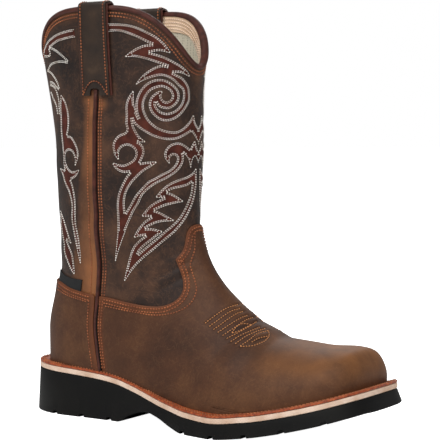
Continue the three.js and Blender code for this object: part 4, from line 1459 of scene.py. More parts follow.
def on_leg(run, height):
    """Rows and columns of points on the shaft laid flat: run from the front line, outer side positive."""
    run, height = np.broadcast_arrays(np.asarray(run, float), np.asarray(height, float))
    side = (run < 0).astype(int)
    row = np.full(run.shape, FORM_ROWS * 0.8)
    for _ in range(12):
        near = np.clip(row, 0, FORM_ROWS - 1.001).astype(int)
        column = FORM_SIDE * run / half_run[near, side]
        miss = height - sample(form_heights, row, column)[..., 0]
        row = row + miss / np.maximum(sample(row_rise, row, column)[..., 0], 0.05)
        row = np.clip(row, 0, FORM_ROWS - 1.001)
    return row, column


TOP_STATIONS = 640
station_columns = np.linspace(-FORM_SIDE, FORM_SIDE, TOP_STATIONS, endpoint=False)
station_rows = round_boot(station_columns, top_row)
station_runs = (
    station_columns / FORM_SIDE
    * half_run[station_rows.astype(int), (station_columns < 0).astype(int)]
)
station_heights = sample(form_heights, station_rows, station_columns)[..., 0]


def beside_top_line(depth):
    """Runs and heights of the line that lies a depth below the top line, or above if negative."""
    d_run = np.roll(station_runs, -1) - np.roll(station_runs, 1)
    full_round = 2 * station_runs.max()
    d_run = np.where(d_run < 0, d_run + full_round + d_run.max(), d_run)
    d_height = np.roll(station_heights, -1) - np.roll(station_heights, 1)
    size = np.hypot(d_run, d_height)
    runs = station_runs + depth * d_height / size
    runs = np.where(station_runs >= 0, np.maximum(runs, 0), np.minimum(runs, 0))
    limit = np.abs(station_runs).max()
    return np.clip(runs, -limit, limit), station_heights - depth * d_run / size


def under_top_line(depth):
    """Places of the line that lies a depth below the top line."""
    return np.column_stack(on_leg(*beside_top_line(depth)))


BINDING_WIDTH = 4.5
# The folded strip's section: depth below the top line, and growth from the last's face.
BINDING_SECTION = [
    (2.5, 2.76), (2.4, 3.4), (1.9, 3.85), (1.1, 4.1), (0.3, 4.0), (-0.6, 3.4), (-1.3, 2.3),
    (-1.5, 1.2), (-1.3, 0.1), (-0.6, -0.9), (0.6, -1.7), (1.6, -2.1), (2.4, -2.1), (2.5, -1.8),
    (1.2, -1.5), (0.2, -0.32), (-0.32, 0.2), (-0.34, 1.2), (-0.3, 2.2), (0.0, 2.72), (1.2, 2.74),
]
binding_rings = []
for depth, growth in BINDING_SECTION:
    rows, columns = under_top_line(depth).T
    binding_rings.append(on_form(rows, columns, growth))
binding_points = np.stack(binding_rings, axis=1).reshape(-1, 3)
binding = build_mesh(
    "binding_strip", binding_points, swept_faces(TOP_STATIONS, len(BINDING_SECTION), closed=True)
)
finish_piece(binding, trim_leather, ["top_binding"])

# The pull loops: a strap of dark oiled leather backed with trim leather, folded over the top
# at each side seam and sewn down to the shaft. Its foot is notched round the piping.
LOOP_WIDTH = 28
LOOP_FOLD_SQUARENESS = 0.7
LOOP_FOLD_STEPS = 20


def shaft_half_width(z):
    return value_at(SHAFT_SECTIONS, "width", "height", (z - HEEL_SEAT) / SHAFT_HEIGHT) * SHAFT_WIDTH / 2


def loop_path(side):
    """The strap's inner face, seen along the boot: y outwards and z, from outer foot to inner foot."""
    middle_x = float(seam_at(TOP_LINE, side))
    binding_foot = TOP_LINE - BINDING_WIDTH
    binding_top = TOP_LINE + GAP + BINDING_THICKNESS
    heights = np.linspace(LOOP_FOOT, binding_foot, 30)
    reach = (LOOP_WIDTH / 2 + abs(middle_x - SEAM_SETBACK)) / (
        SHAFT_DEPTH * SHAFT_SECTIONS["behind"][0]
    )
    rise = (heights - LOOP_FOOT) / (binding_foot - LOOP_FOOT) * (BINDING_THICKNESS + GAP)
    half = shaft_half_width(heights)
    outer = half + UPPER_WALL + GAP + rise
    inner = half - half * (1 - math.sqrt(1 - reach ** 2)) - 2 * GAP - rise
    crown_y = (outer[-1] + inner[-1]) / 2
    reach_y = (outer[-1] - inner[-1]) / 2
    angle = np.linspace(0, math.pi, LOOP_FOLD_STEPS + 1)
    fold = np.column_stack((
        crown_y + reach_y * np.cos(angle),
        binding_top + LOOP_CROWN * np.sin(angle) ** LOOP_FOLD_SQUARENESS,
    ))
    return middle_x, np.vstack((
        np.column_stack((outer, heights)), fold, np.column_stack((inner, heights))[::-1]
    ))


STRAP_EDGE_STEPS = 5
STRAP_ROUNDING = 0.42


def strap_section(half_width, low, high, edge):
    """A strap's section with rounded edges: across and out."""
    section = []
    for sign_x, sign_y in ((1, -1), (1, 1), (-1, 1), (-1, -1)):
        for k in range(STRAP_EDGE_STEPS + 1):
            turn = math.pi / 2 * k / STRAP_EDGE_STEPS
            turn = turn if sign_x * sign_y > 0 else math.pi / 2 - turn
            x = sign_x * (half_width - edge * (1 - math.cos(turn)))
            inset = edge * (1 - math.sin(turn))
            section.append((x, high - inset if sign_y > 0 else low + inset))
    return section


STRAP_CURL = 0.9
STRAP_FLARE = 0.9


def strap_points(side, section):
    """A strap section carried along a loop's path, its edges curling back to the shaft."""
    middle_x, path = loop_path(side)
    along = np.gradient(path, axis=0)
    along /= np.linalg.norm(along, axis=1)[:, None]
    out = np.column_stack((along[:, 1], -along[:, 0]))
    sign = SIDES[side]
    top = path[:, 1].max()
    rings = []
    for (y, z), (out_y, out_z) in zip(path, out):
        spread = 1 + STRAP_FLARE / (LOOP_WIDTH / 2) * ((top - z) / LOOP_LENGTH) ** 2
        for x, height in section:
            lift = height - STRAP_CURL * (x / (LOOP_WIDTH / 2)) ** 2 * (1 if y > SHAFT_WIDTH / 2 else 0.3)
            rings.append((middle_x + x * spread, sign * (y + out_y * lift), z + out_z * lift))
    return np.array(rings), len(path)


STRAP_LAYERS = {"strap_backing": (14.0, 0.0, 1.05), "strap_face": (12.7, 1.05, 2.2)}
NOTCH_HALF_WIDTH = 4.6
NOTCH_HEIGHT = 5.5
NOTCH_BELOW = 3.0
NOTCH_STEPS = 13
NOTCH_SQUARENESS = 0.5
NOTCH_ROUNDNESS = 0.6
NOTCH_REACH = (20, 70)
loops = {}
for side in SIDES:
    for layer, (half_width, low, high) in STRAP_LAYERS.items():
        section = strap_section(half_width, low, high, STRAP_ROUNDING)
        points, rings = strap_points(side, section)
        faces = swept_faces(rings, len(section))
        if side == "lateral":
            faces = [face[::-1] for face in faces]
        strap = build_mesh(f"{layer}_{side}", points, faces)
        notch_x = float(seam_at(LOOP_FOOT, side))
        arch = [(NOTCH_HALF_WIDTH, -NOTCH_BELOW)]
        for a in np.linspace(0, math.pi, NOTCH_STEPS):
            across = math.copysign(abs(math.cos(a)) ** NOTCH_SQUARENESS, math.cos(a))
            up = math.sin(a) ** NOTCH_ROUNDNESS
            arch.append((NOTCH_HALF_WIDTH * across, NOTCH_HEIGHT * up))
        arch += [(-NOTCH_HALF_WIDTH, -NOTCH_BELOW)]
        reach_y = sorted(SIDES[side] * y for y in NOTCH_REACH)
        notch_points = [(notch_x + x, y, LOOP_FOOT + z) for y in reach_y for x, z in arch]
        notch_faces = [face[::-1] for face in swept_faces(2, len(arch))]
        cut_with(strap, build_mesh("loop_notch", notch_points, notch_faces), "DIFFERENCE")
        loops[layer, side] = strap
# The same oiled leather as the shaft, handled until it is darker and a little greenish.
strap_leather = mottled(
    "oiled_strap_leather", ("TexNoise", {"size": 14, "Detail": 6.0}),
    [(0.3, "#231a15"), (0.58, "#33251b"), (0.8, "#4b3828")],
    {"Roughness": 0.5, "Specular IOR Level": 0.3},
    (0.25, 0.15), ("TexVoronoi", {"size": 1.2}),
)
for side, node in (("lateral", "pull_loop_outer"), ("medial", "pull_loop_inner")):
    finish_piece(loops["strap_face", side], strap_leather, [node])
    finish_piece(loops["strap_backing", side], trim_leather)

# The side label: a short length of plain black woven ribbon, sewn on above the counter.
LABEL_CORNERS = [(61.6, 269.3), (82.5, 279.8), (81.3, 291.4), (60.6, 279.8)]
LABEL_THICKNESS = 0.8
LABEL_GRID = (12, 44)
label_places = where_seen(LABEL_CORNERS, UPPER_WALL)
down = np.linspace(0, 1, LABEL_GRID[0])[:, None, None]
forward = np.linspace(0, 1, LABEL_GRID[1])[None, :, None]
label_grid = (
    label_places[0] * (1 - down) * (1 - forward) + label_places[1] * (1 - down) * forward
    + label_places[2] * down * forward + label_places[3] * down * (1 - forward)
)[::-1, ::-1]
ribbon_ids = np.arange(LABEL_GRID[0] * LABEL_GRID[1]).reshape(LABEL_GRID)
ribbon_faces = np.stack(corners_of(ribbon_ids), axis=2).reshape(-1, 4).tolist()
label = skin_piece(
    "woven_label", label_grid[..., 0].ravel(), label_grid[..., 1].ravel(), ribbon_faces,
    UPPER_WALL + 0.05, UPPER_WALL + GAP + LABEL_THICKNESS,
)
# Woven polyester ribbon: black and matt, its ribs drawn about 5 mm apart so that they show.
RIB_PITCH = 2 * math.pi * 0.8
WAVES_IN_SCALE = 20 / (2 * math.pi)
ribbon = new_material("woven_polyester_ribbon")
ribbon_weave = add_node(
    ribbon, "TexWave",
    {"Scale": 1 / (RIB_PITCH * MM) / WAVES_IN_SCALE, "bands_direction": "Z"},
)
ribbon_bump = add_node(
    ribbon, "Bump", {"Strength": 0.5, "Distance": 0.2 * MM}, {"Height": ribbon_weave}
)
ribbon_surface = add_node(
    ribbon, "BsdfPrincipled", {"Base Color": "#0c0d0f", "Roughness": 0.8, "IOR": 1.5},
    {"Normal": ribbon_bump},
)
add_node(ribbon, "OutputMaterial", {}, {0: ribbon_surface})
finish_piece(label, ribbon, ["side_label"])

# The seam stitching: lock stitches of heavy orange-brown thread. Rows run inside every panel
# edge, down both sides of the piping, under the binding and round the straps.
BEAD_SIDES = 5
BEAD_RINGS = ((0.1, 0.7, -0.1), (0.5, 1.0, 0.5), (0.9, 0.7, -0.1))
BEAD_SUNK = -0.6


def row_on(places, growth):
    """A line on the grown form: points and normals, about a millimetre apart."""
    rows, columns = places[:, 0], places[:, 1]
    return on_form(rows, columns, growth), sample(form_normal, rows, columns)


def places_beside(line, distance, growth):
    """Places of the line that lies a distance to one side of a line on the grown form."""
    points, normals = line
    along = np.gradient(points, axis=0)
    along /= np.maximum(np.linalg.norm(along, axis=1), 1e-9)[:, None]
    return settled(points + np.cross(normals, along) * distance, growth)


def beside(line, distance, growth):
    return row_on(places_beside(line, distance, growth), growth)


def stitching(name, lines, pitch, thread, material, cover=0.74):
    """Stitches along lines, as small beads whose ends sink into the leather."""
    starts, ends, outs = [], [], []
    for points, normals in lines:
        run = np.concatenate(([0], np.cumsum(np.linalg.norm(np.diff(points, axis=0), axis=1))))
        count = int(round(run[-1] / pitch))
        if count < 1:
            continue
        step = run[-1] / count
        first = (np.arange(count) + (1 - cover) / 2) * step
        for goal, found in ((first, starts), (first + cover * step, ends)):
            found.append(np.column_stack([np.interp(goal, run, points[:, k]) for k in range(3)]))
        middle = first + cover * step / 2
        outs.append(np.column_stack([np.interp(middle, run, normals[:, k]) for k in range(3)]))
    start, end, out = np.vstack(starts), np.vstack(ends), np.vstack(outs)
    along = end - start
    across = np.cross(out, along)
    across /= np.linalg.norm(across, axis=1)[:, None]
    beads = [start + out * BEAD_SUNK * thread]
    for share, width, lift in BEAD_RINGS:
        for k in range(BEAD_SIDES):
            turn = 2 * math.pi * k / BEAD_SIDES
            beads.append(
                start + along * share + across * math.cos(turn) * width * thread
                + out * (lift + math.sin(turn) * width) * thread
            )
    beads.append(end + out * BEAD_SUNK * thread)
    points = np.stack(beads, axis=1)
    around = np.arange(BEAD_SIDES)
    ahead = (around + 1) % BEAD_SIDES
    last = 1 + len(BEAD_RINGS) * BEAD_SIDES
    fans = np.vstack((
        np.column_stack((np.zeros(BEAD_SIDES, int), 1 + ahead, 1 + around)),
        np.column_stack((
            np.full(BEAD_SIDES, last), last - BEAD_SIDES + around, last - BEAD_SIDES + ahead
        )),
    ))
    walls = np.vstack([
        np.column_stack((1 + r * BEAD_SIDES + around, 1 + r * BEAD_SIDES + ahead,
                         1 + (r + 1) * BEAD_SIDES + ahead, 1 + (r + 1) * BEAD_SIDES + around))
        for r in range(len(BEAD_RINGS) - 1)
    ])
    shift = np.arange(len(points)) * points.shape[1]
    faces = [
        *(fans[None] + shift[:, None, None]).reshape(-1, 3).tolist(),
        *(walls[None] + shift[:, None, None]).reshape(-1, 4).tolist(),
    ]
    piece = build_mesh(name, points.reshape(-1, 3), faces)
    return finish_piece(piece, material, crease_degrees=80)


def mirrored(places):
    """Places of the outer side, on the inner side."""
    return places * (1, -1)


# Waxed polyester thread, three strands twisted: orange-brown with a low sheen.
seam_thread = mottled(
    "waxed_polyester_seam_thread", ("TexNoise", {"size": 11, "Detail": 3.0}),
    [(0.35, "#733a1e"), (0.65, "#b1663a")], {"Roughness": 0.6},
)
SEAM_PITCH = 2.4
SEAM_THREAD = 0.6
PANEL_ROWS = (2.0, 4.7)
# The third row on the vamp and the counter, as seen in the photo's frame.
THIRD_ROW_FRONT = [(194.6, 232.5), (194.8, 240.0), (194.4, 251.0), (191.8, 258.4), (190.2, 265.0),
                   (192.4, 273.0), (195.0, 281.0), (196.5, 288.5), (194.6, 297.0), (190.0, 304.0),
                   (180.0, 310.5), (160.0, 315.0), (130.0, 311.2), (104.5, 306.0)]
THIRD_ROW_BACK = [(86.5, 301.5), (74.9, 298.0), (66.0, 294.5), (57.8, 289.4)]
seam_lines = []


def kept_runs(line, keep):
    """The stretches of a line whose points are kept."""
    points, normals = line
    cuts = np.nonzero(np.diff(keep.astype(int)))[0] + 1
    stretches = zip(np.split(points, cuts), np.split(normals, cuts), np.split(keep, cuts))
    return [(p, n) for p, n, kept in stretches if kept[0] and len(p) > 2]


def clear_of_seam(line, side, clearance):
    """The stretches of a line that stay a clearance away from the side seam."""
    points, _ = line
    return kept_runs(line, np.abs(points[:, 0] - seam_at(points[:, 2], side)) > clearance)


SEAM_CLEARANCE = 6
third_rows = [where_seen(through(marks, 1.0), COVER) for marks in (THIRD_ROW_FRONT, THIRD_ROW_BACK)]
for side, flip in (("lateral", 1), ("medial", -1)):
    edge_row = row_on(outer_edge * (1, flip), COVER)
    side_rows = [beside(edge_row, inset * flip, COVER) for inset in PANEL_ROWS]
    side_rows += [row_on(places * (1, flip), COVER) for places in third_rows]
    for row in side_rows:
        seam_lines += clear_of_seam(row, side, SEAM_CLEARANCE)

# Rows beside the piping: distance ahead of the seam.
SEAM_ROWS = (-7.2, 3.1, 5.3)
PANEL_TOP_AT_SEAM = 94
for side in SIDES:
    for ahead in SEAM_ROWS:
        foot_z = float(welt_top_at(seam_at(HEEL_SEAT, side))) + 1
        for low, high, growth in (
            (foot_z, PANEL_TOP_AT_SEAM, COVER), (PANEL_TOP_AT_SEAM + 2, LOOP_FOOT - 1, UPPER_WALL)
        ):
            heights = np.arange(low, high, 2.0)
            places = np.column_stack(from_side(seam_at(heights, side) + ahead, heights, side))
            seam_lines.append(row_on(places, growth))

# Rows under the binding: depth below the top line.
COLLAR_ROWS = (4.4, 6.9)
for depth in COLLAR_ROWS:
    seam_lines.append(row_on(under_top_line(depth), UPPER_WALL))
stitching("seam_stitches", seam_lines, SEAM_PITCH, SEAM_THREAD, seam_thread)

# Rows through the lining band, seen inside the top line as pale stitches.
LINING_ROWS = (4.6, 7.2, 9.8, 12.4)
lining_lines = []
for depth in LINING_ROWS:
    points, normals = row_on(under_top_line(depth), band_growth - LINING_THICKNESS)
    lining_lines.append((points, -normals))
# Undyed bonded nylon thread: pinkish cream with a slight sheen.
lining_thread = plain(
    "undyed_nylon_thread", {"Base Color": "#f3d9c4", "Roughness": 0.5, "IOR": 1.53}
)
stitching("lining_stitches", lining_lines, SEAM_PITCH, SEAM_THREAD, lining_thread)

# Rows on the straps: down both edges and over the notch in the foot.
STRAP_ROW_INSET = 2.0
FOOT_ARCH_STEPS = 25
FOOT_ARCH_FROM = 1.5
FOOT_ARCH_RISE = 9.5
FOOT_ARCH_SQUARENESS = 2.2
strap_lines = []
strap_face_half, _, strap_face_top = STRAP_LAYERS["strap_face"]
for side in SIDES:
    for edge in (-1, 1):
        section = [(edge * (strap_face_half - STRAP_ROW_INSET), strap_face_top)]
        points, _ = strap_points(side, section)
        out, _ = strap_points(side, [(section[0][0], strap_face_top + 1)])
        strap_lines.append((points, out - points))
    share = np.linspace(-1, 1, FOOT_ARCH_STEPS)
    arch_across = share * (strap_face_half - STRAP_ROW_INSET)
    arch_rise = FOOT_ARCH_FROM + FOOT_ARCH_RISE * (1 - np.abs(share) ** FOOT_ARCH_SQUARENESS)
    sign = SIDES[side]
    middle_x = float(seam_at(TOP_LINE, side))
    heights = LOOP_FOOT + arch_rise
    face_y = shaft_half_width(heights) + UPPER_WALL + GAP + strap_face_top
    lift = STRAP_CURL * (arch_across / (LOOP_WIDTH / 2)) ** 2
    points = np.column_stack((middle_x + arch_across, sign * (face_y - lift + 0.1), heights))
    strap_lines.append((points, np.tile((0, sign, 0), (len(points), 1))))
stitching("strap_stitches", strap_lines, SEAM_PITCH, SEAM_THREAD, seam_thread)

# The toe stitching: the thread lies in the grooves that it has drawn across the vamp.
toe_lines = []
for marks in TOE_ROWS:
    places = toe_places(marks)
    for side_places in (places, mirrored(places)):
        toe_lines.append(row_on(side_places, COVER - 0.8 * TOE_GROOVE))
TOE_PITCH = 2.1
TOE_THREAD = 0.42
# The toe rows show a lighter thread than the seams: natural tan, less waxed.
toe_thread = plain(
    "tan_waxed_toe_thread", {"Base Color": "#c8864f", "Roughness": 0.6, "IOR": 1.5}
)
stitching("toe_stitches", toe_lines, TOE_PITCH, TOE_THREAD, toe_thread)

# The welt stitching: two rows of the seams' heavy thread along the top of the welt.
WELT_ROW_INSETS = (1.5, 3.7)
WELT_PITCH = 2.9
WELT_THREAD = 0.62
welt_lines = []
for inset in WELT_ROW_INSETS:
    ring = sole_ring(-inset)
    welt_row = np.column_stack((ring, welt_face_at(ring[:, 0])))
    welt_row = np.vstack((welt_row, welt_row[:1]))
    welt_lines.append((welt_row, np.tile((0.0, 0.0, 1.0), (len(welt_row), 1))))
stitching("welt_stitches", welt_lines, WELT_PITCH, WELT_THREAD, seam_thread)

# The shaft's ornament: scrolls and flames laid out in bands of red-brown leather between rows
# of pale thread, the same on both sides. Marks are in the photo's frame of 440 by 440; a line
# is a list of smooth stretches that meet at its points and notches.


def joined(*stretches):
    """A line's smooth stretches, each from the point where the one before it ended."""
    starts = [[], *([stretch[-1]] for stretch in stretches)]
    return [start + stretch for start, stretch in zip(starts, stretches)]


FRONT_UPPER_BAND = joined(
    [(105.7, 24.1), (115.3, 24.0), (125.0, 24.5), (132.9, 26.0), (145.9, 31.4), (158.1, 38.3),
     (165.8, 45.9), (170.4, 52.8)],
    [(160.0, 50.6), (148.2, 52.4)],
    [(161.2, 55.9), (172.7, 61.2), (182.6, 67.3), (187.2, 71.9), (189.5, 76.5)],
    [(181.0, 72.6), (171.7, 72.4)],
    [(177.1, 75.4), (181.6, 77.6), (185.6, 82.1), (188.3, 87.0), (189.2, 93.7), (189.2, 100.4),
     (186.5, 106.2), (182.9, 111.6), (178.0, 116.5), (172.6, 119.6), (165.9, 120.9), (160.1, 119.6),
     (154.8, 116.0), (151.2, 111.6), (149.4, 106.2), (149.9, 100.4), (152.1, 96.4), (155.7, 93.3),
     (159.3, 91.5), (162.4, 91.5)],
)
FRONT_INNER_SPIRAL = joined(
    [(162.4, 91.5), (161.0, 93.7), (161.0, 97.3), (163.3, 100.9), (166.4, 102.2), (169.5, 100.9),
     (172.2, 97.3), (171.8, 93.3), (169.1, 89.7), (165.5, 87.5), (161.0, 86.6), (156.6, 87.5),
     (152.1, 89.3), (148.1, 92.8), (145.4, 97.3), (143.6, 102.6), (143.6, 108.4), (145.4, 114.3),
     (148.1, 119.2), (152.1, 123.6), (156.6, 127.2), (163.8, 130.3), (170.1, 131.8), (176.4, 131.8),
     (181.6, 129.5), (186.2, 125.5), (189.6, 121.4), (193.2, 115.1)],
    [(195.4, 124.3), (198.2, 128.9), (200.6, 132.3)],
)
FRONT_LOWER_BAND = joined(
    [(105.7, 31.8), (119.1, 31.0), (130.6, 34.4), (139.8, 38.3), (147.4, 42.1), (153.6, 44.4)],
    [(142.1, 45.9), (132.9, 50.5), (125.2, 56.6)],
    [(134.4, 56.6), (144.4, 58.5), (156.6, 62.3), (168.9, 66.6)],
    [(161.2, 65.4), (152.0, 68.9), (142.8, 75.7), (135.9, 84.6)],
    [(142.7, 80.3), (147.6, 78.5), (153.0, 76.8), (159.3, 75.4), (164.6, 75.9), (170.0, 78.1),
     (174.4, 81.2), (178.4, 85.7), (182.5, 89.3), (183.4, 95.9), (182.0, 102.6), (178.4, 108.0),
     (173.5, 111.6), (167.3, 113.4), (161.0, 112.0), (157.0, 108.4), (155.2, 104.8),
     (155.7, 101.3)],
    [(159.3, 106.7), (164.6, 108.4), (169.5, 108.4), (173.5, 106.2), (177.1, 102.6), (178.9, 98.2),
     (177.6, 90.1), (174.9, 86.6), (170.4, 83.0), (165.5, 80.3), (160.1, 79.4), (154.8, 79.9),
     (149.9, 81.7), (145.4, 84.8), (141.4, 89.3), (138.3, 94.6), (136.5, 100.4), (136.0, 107.1),
     (136.9, 113.8), (139.2, 119.6)],
)
FRONT_CRESCENT = [
    [(139.2, 119.6), (135.6, 111.6), (133.8, 104.9), (133.4, 98.2), (133.3, 91.0)],
]
FRONT_CRESCENT_FOOT = joined(
    [(131.8, 117.2), (133.8, 122.4), (139.0, 127.6), (147.1, 132.9), (152.3, 135.8), (157.5, 137.5),
     (164.4, 139.2), (171.3, 139.6), (177.0, 138.7), (182.7, 136.2), (187.3, 133.5),
     (191.2, 131.0)],
    [(193.6, 134.1), (196.5, 138.7), (200.0, 145.0)],
)
FRONT_FLAME = joined(
    [(133.3, 91.0), (128.3, 98.0), (126.0, 107.0), (126.4, 115.3), (126.0, 123.0), (127.5, 129.8)],
    [(125.2, 132.9), (120.7, 134.4), (116.1, 138.3), (113.4, 144.4), (113.8, 150.5), (115.3, 155.1),
     (118.7, 159.7)],
    [(118.4, 155.1), (119.1, 150.5), (122.2, 146.7), (126.8, 145.1), (132.1, 146.7), (135.6, 150.5),
     (136.0, 155.1), (133.7, 159.7), (129.8, 162.7), (124.5, 165.0), (113.0, 163.1)],
    [(114.5, 166.6), (118.4, 170.4), (123.0, 172.3), (130.6, 171.9)],
    [(126.8, 176.5), (122.5, 184.6), (119.6, 191.5), (118.1, 197.0), (117.4, 204.6), (117.8, 214.1),
     (118.1, 223.7), (118.1, 233.3), (117.4, 240.9), (116.5, 249.2), (115.5, 261.3)],
)
FRONT_FLAME_TAIL = joined(
    [(131.8, 117.2), (133.7, 126.8), (136.7, 132.9), (140.6, 138.3), (145.5, 141.9)],
    [(136.7, 141.7)],
    [(140.6, 143.6), (143.2, 147.4), (144.0, 152.8), (142.1, 158.1), (139.4, 163.5)],
    [(145.9, 162.4), (156.6, 162.0)],
    [(150.5, 166.6), (143.7, 170.8), (136.8, 177.1), (131.6, 182.9), (127.6, 189.2), (125.3, 195.5),
     (124.5, 201.5), (125.2, 214.1)],
)
RIGHT_SCROLL = joined(
    [(125.2, 214.1), (131.8, 202.7), (136.2, 194.9), (140.3, 190.3), (144.9, 185.2), (149.4, 181.1),
     (155.2, 178.3), (160.9, 174.8), (166.7, 172.0), (171.3, 169.1), (174.7, 165.6), (177.0, 161.6),
     (177.3, 157.0), (174.7, 154.7), (171.3, 155.3), (169.2, 158.2), (169.0, 161.6),
     (169.5, 163.6)],
    [(165.5, 158.2), (164.7, 153.6), (166.1, 149.6), (169.5, 145.6), (174.7, 143.3), (180.4, 143.3),
     (185.0, 145.6), (190.2, 150.1)],
    [(191.9, 145.6), (194.5, 141.0)],
    [(195.9, 146.7), (197.7, 151.3), (199.8, 155.5)],
)
RIGHT_SCROLL_FOOT = joined(
    [(199.4, 163.4), (197.1, 159.3), (194.8, 155.3), (193.1, 157.0), (191.4, 161.6),
     (190.5, 167.9)],
    [(189.1, 160.5), (186.8, 155.9), (182.2, 152.4)],
    [(183.3, 157.0), (182.7, 162.2), (180.4, 166.8), (175.8, 172.0), (170.1, 176.0), (164.4, 179.4),
     (158.1, 182.3), (151.7, 186.3), (146.0, 190.9), (141.4, 196.6), (138.8, 202.7), (133.7, 210.9),
     (129.9, 219.2), (126.7, 226.9), (123.5, 235.8), (120.3, 244.7), (117.8, 252.4),
     (115.5, 261.3)],
)
LEAF_OUTER = joined(
    [(195.7, 168.5), (193.6, 172.0), (188.5, 176.0), (181.0, 178.9), (173.6, 181.7), (166.7, 185.7),
     (162.1, 189.8), (155.8, 197.2)],
    [(165.5, 197.5)],
    [(156.0, 202.0), (149.6, 206.5), (145.2, 211.6), (142.0, 216.0)],
    [(152.2, 216.7)],
    [(144.5, 221.8), (140.7, 226.2), (137.5, 230.7), (134.0, 237.4)],
    [(140.7, 235.8), (146.5, 235.2)],
    [(138.2, 241.6), (134.3, 246.0), (131.8, 251.1), (129.9, 257.5), (128.0, 265.2),
     (124.5, 281.1)],
    [(130.5, 272.2), (136.9, 264.5), (143.3, 258.1), (150.9, 251.8), (158.6, 245.4), (166.2, 239.0),
     (173.9, 232.6), (179.6, 226.2), (184.7, 219.2), (189.2, 210.9), (192.4, 202.7), (194.8, 192.6),
     (195.9, 184.0), (195.9, 175.4), (195.7, 168.5)],
)
LEAF_INNER = joined(
    [(192.2, 181.7), (191.4, 189.8), (190.5, 195.0), (187.3, 203.3), (183.4, 211.6), (178.3, 219.2),
     (172.6, 225.0), (165.6, 230.7), (159.2, 236.5), (152.2, 242.2), (144.5, 248.6),
     (137.5, 255.0)],
    [(139.4, 251.1), (143.3, 246.7), (149.6, 241.6), (156.0, 236.5), (162.4, 231.4)],
    [(152.2, 228.8), (144.5, 228.8)],
    [(149.6, 225.6), (157.3, 222.4), (165.6, 221.1), (173.9, 220.5)],
    [(166.2, 216.0), (159.2, 212.2), (153.5, 210.3)],
    [(157.9, 208.4), (164.3, 205.8), (173.9, 203.3), (183.0, 201.3)],
    [(177.6, 197.2), (171.3, 193.8), (166.1, 192.1)],
    [(171.3, 189.2), (178.1, 187.5), (186.8, 185.2), (192.2, 181.7)],
)
BACK_BAND = [
    [(74.2, 29.6), (68.4, 30.5), (62.7, 32.2), (56.9, 34.5), (52.4, 37.6), (48.3, 41.6),
     (46.0, 46.2), (44.6, 50.8), (44.3, 55.4)],
]
BACK_BAND_FOOT = joined(
    [(44.9, 57.1), (50.3, 56.3), (49.5, 48.0)],
    [(52.9, 45.1), (57.5, 41.6), (63.3, 39.6), (69.6, 37.9), (75.3, 36.8)],
)
BACK_SCROLL = joined(
    [(49.5, 48.0), (55.2, 50.8), (59.8, 54.3), (63.8, 57.7), (68.1, 62.0)],
    [(62.1, 60.9), (56.4, 61.7), (51.8, 63.5), (47.8, 70.9)],
    [(51.8, 73.8), (54.6, 77.8), (56.9, 81.8), (59.5, 89.3)],
    [(56.4, 85.9), (53.5, 82.4), (50.3, 81.3)],
) + [
    [(50.6, 85.3), (54.6, 87.6), (56.9, 92.7), (58.7, 99.6), (59.2, 106.5), (59.8, 114.6)],
    [(51.2, 92.2), (53.5, 98.5), (56.4, 105.4), (58.1, 114.6)],
]
BACK_FLAME = joined(
    [(61.5, 130.0), (61.2, 114.6), (60.8, 102.5), (61.3, 95.0)],
    [(65.1, 100.8), (67.6, 108.5), (68.9, 117.4), (68.9, 125.7), (67.3, 135.9)],
    [(70.8, 136.6), (74.6, 141.7), (77.2, 147.4), (78.5, 153.8), (77.5, 159.5), (75.3, 165.9)],
    [(75.6, 160.0), (74.6, 155.7), (72.1, 151.2), (68.9, 149.9), (66.0, 152.5), (65.1, 158.2),
     (66.4, 164.0), (68.9, 169.1), (72.1, 171.6), (75.9, 171.3), (79.1, 170.0)],
    [(77.2, 174.8), (74.0, 178.0), (70.8, 179.3)],
    [(73.4, 188.0), (74.9, 197.0), (75.6, 204.0), (75.6, 214.6), (76.3, 225.1), (78.4, 235.6),
     (79.8, 246.1), (80.7, 263.7)],
    [(77.7, 249.6), (75.6, 239.1), (73.5, 228.6), (72.1, 218.1), (72.1, 204.0), (69.8, 193.0),
     (65.2, 182.0), (62.6, 173.0), (60.6, 168.4)],
    [(64.6, 170.4), (64.4, 164.0), (63.8, 153.8), (63.2, 147.4), (61.5, 130.0)],
)
BACK_LEAF = joined(
    [(60.9, 210.4), (63.7, 218.1), (65.8, 225.1), (67.9, 232.1), (71.4, 243.3)],
    [(66.5, 239.1)],
    [(69.3, 246.1), (72.1, 253.2), (73.5, 260.2), (74.6, 274.2)],
    [(70.7, 268.6), (67.9, 261.6), (65.1, 253.2), (64.4, 243.3)],
    [(62.0, 228.0), (60.9, 210.4)],
)
PATTERN_STEP = 1.2
# Columns short of the front line within which a mark counts as lying on it.
FRONT_MARGIN = 20


def pattern_places(stretches):
    """Places on the shaft of a line made of smooth stretches."""
    marks = [through(stretch, PATTERN_STEP)[:-1] for stretch in stretches]
    places = where_seen(np.vstack([*marks, stretches[-1][-1:]]), UPPER_WALL)
    places[:, 1] = np.where(places[:, 1] > FORM_COLUMNS - FRONT_MARGIN, 0, places[:, 1])
    return places


def outline_of(*lines):
    """A closed outline of rows and columns from lines given in order, end to end."""
    return np.vstack([pattern_places(line) for line in lines])


def turned(stretches):
    """A line run the other way."""
    return [stretch[::-1] for stretch in stretches[::-1]]


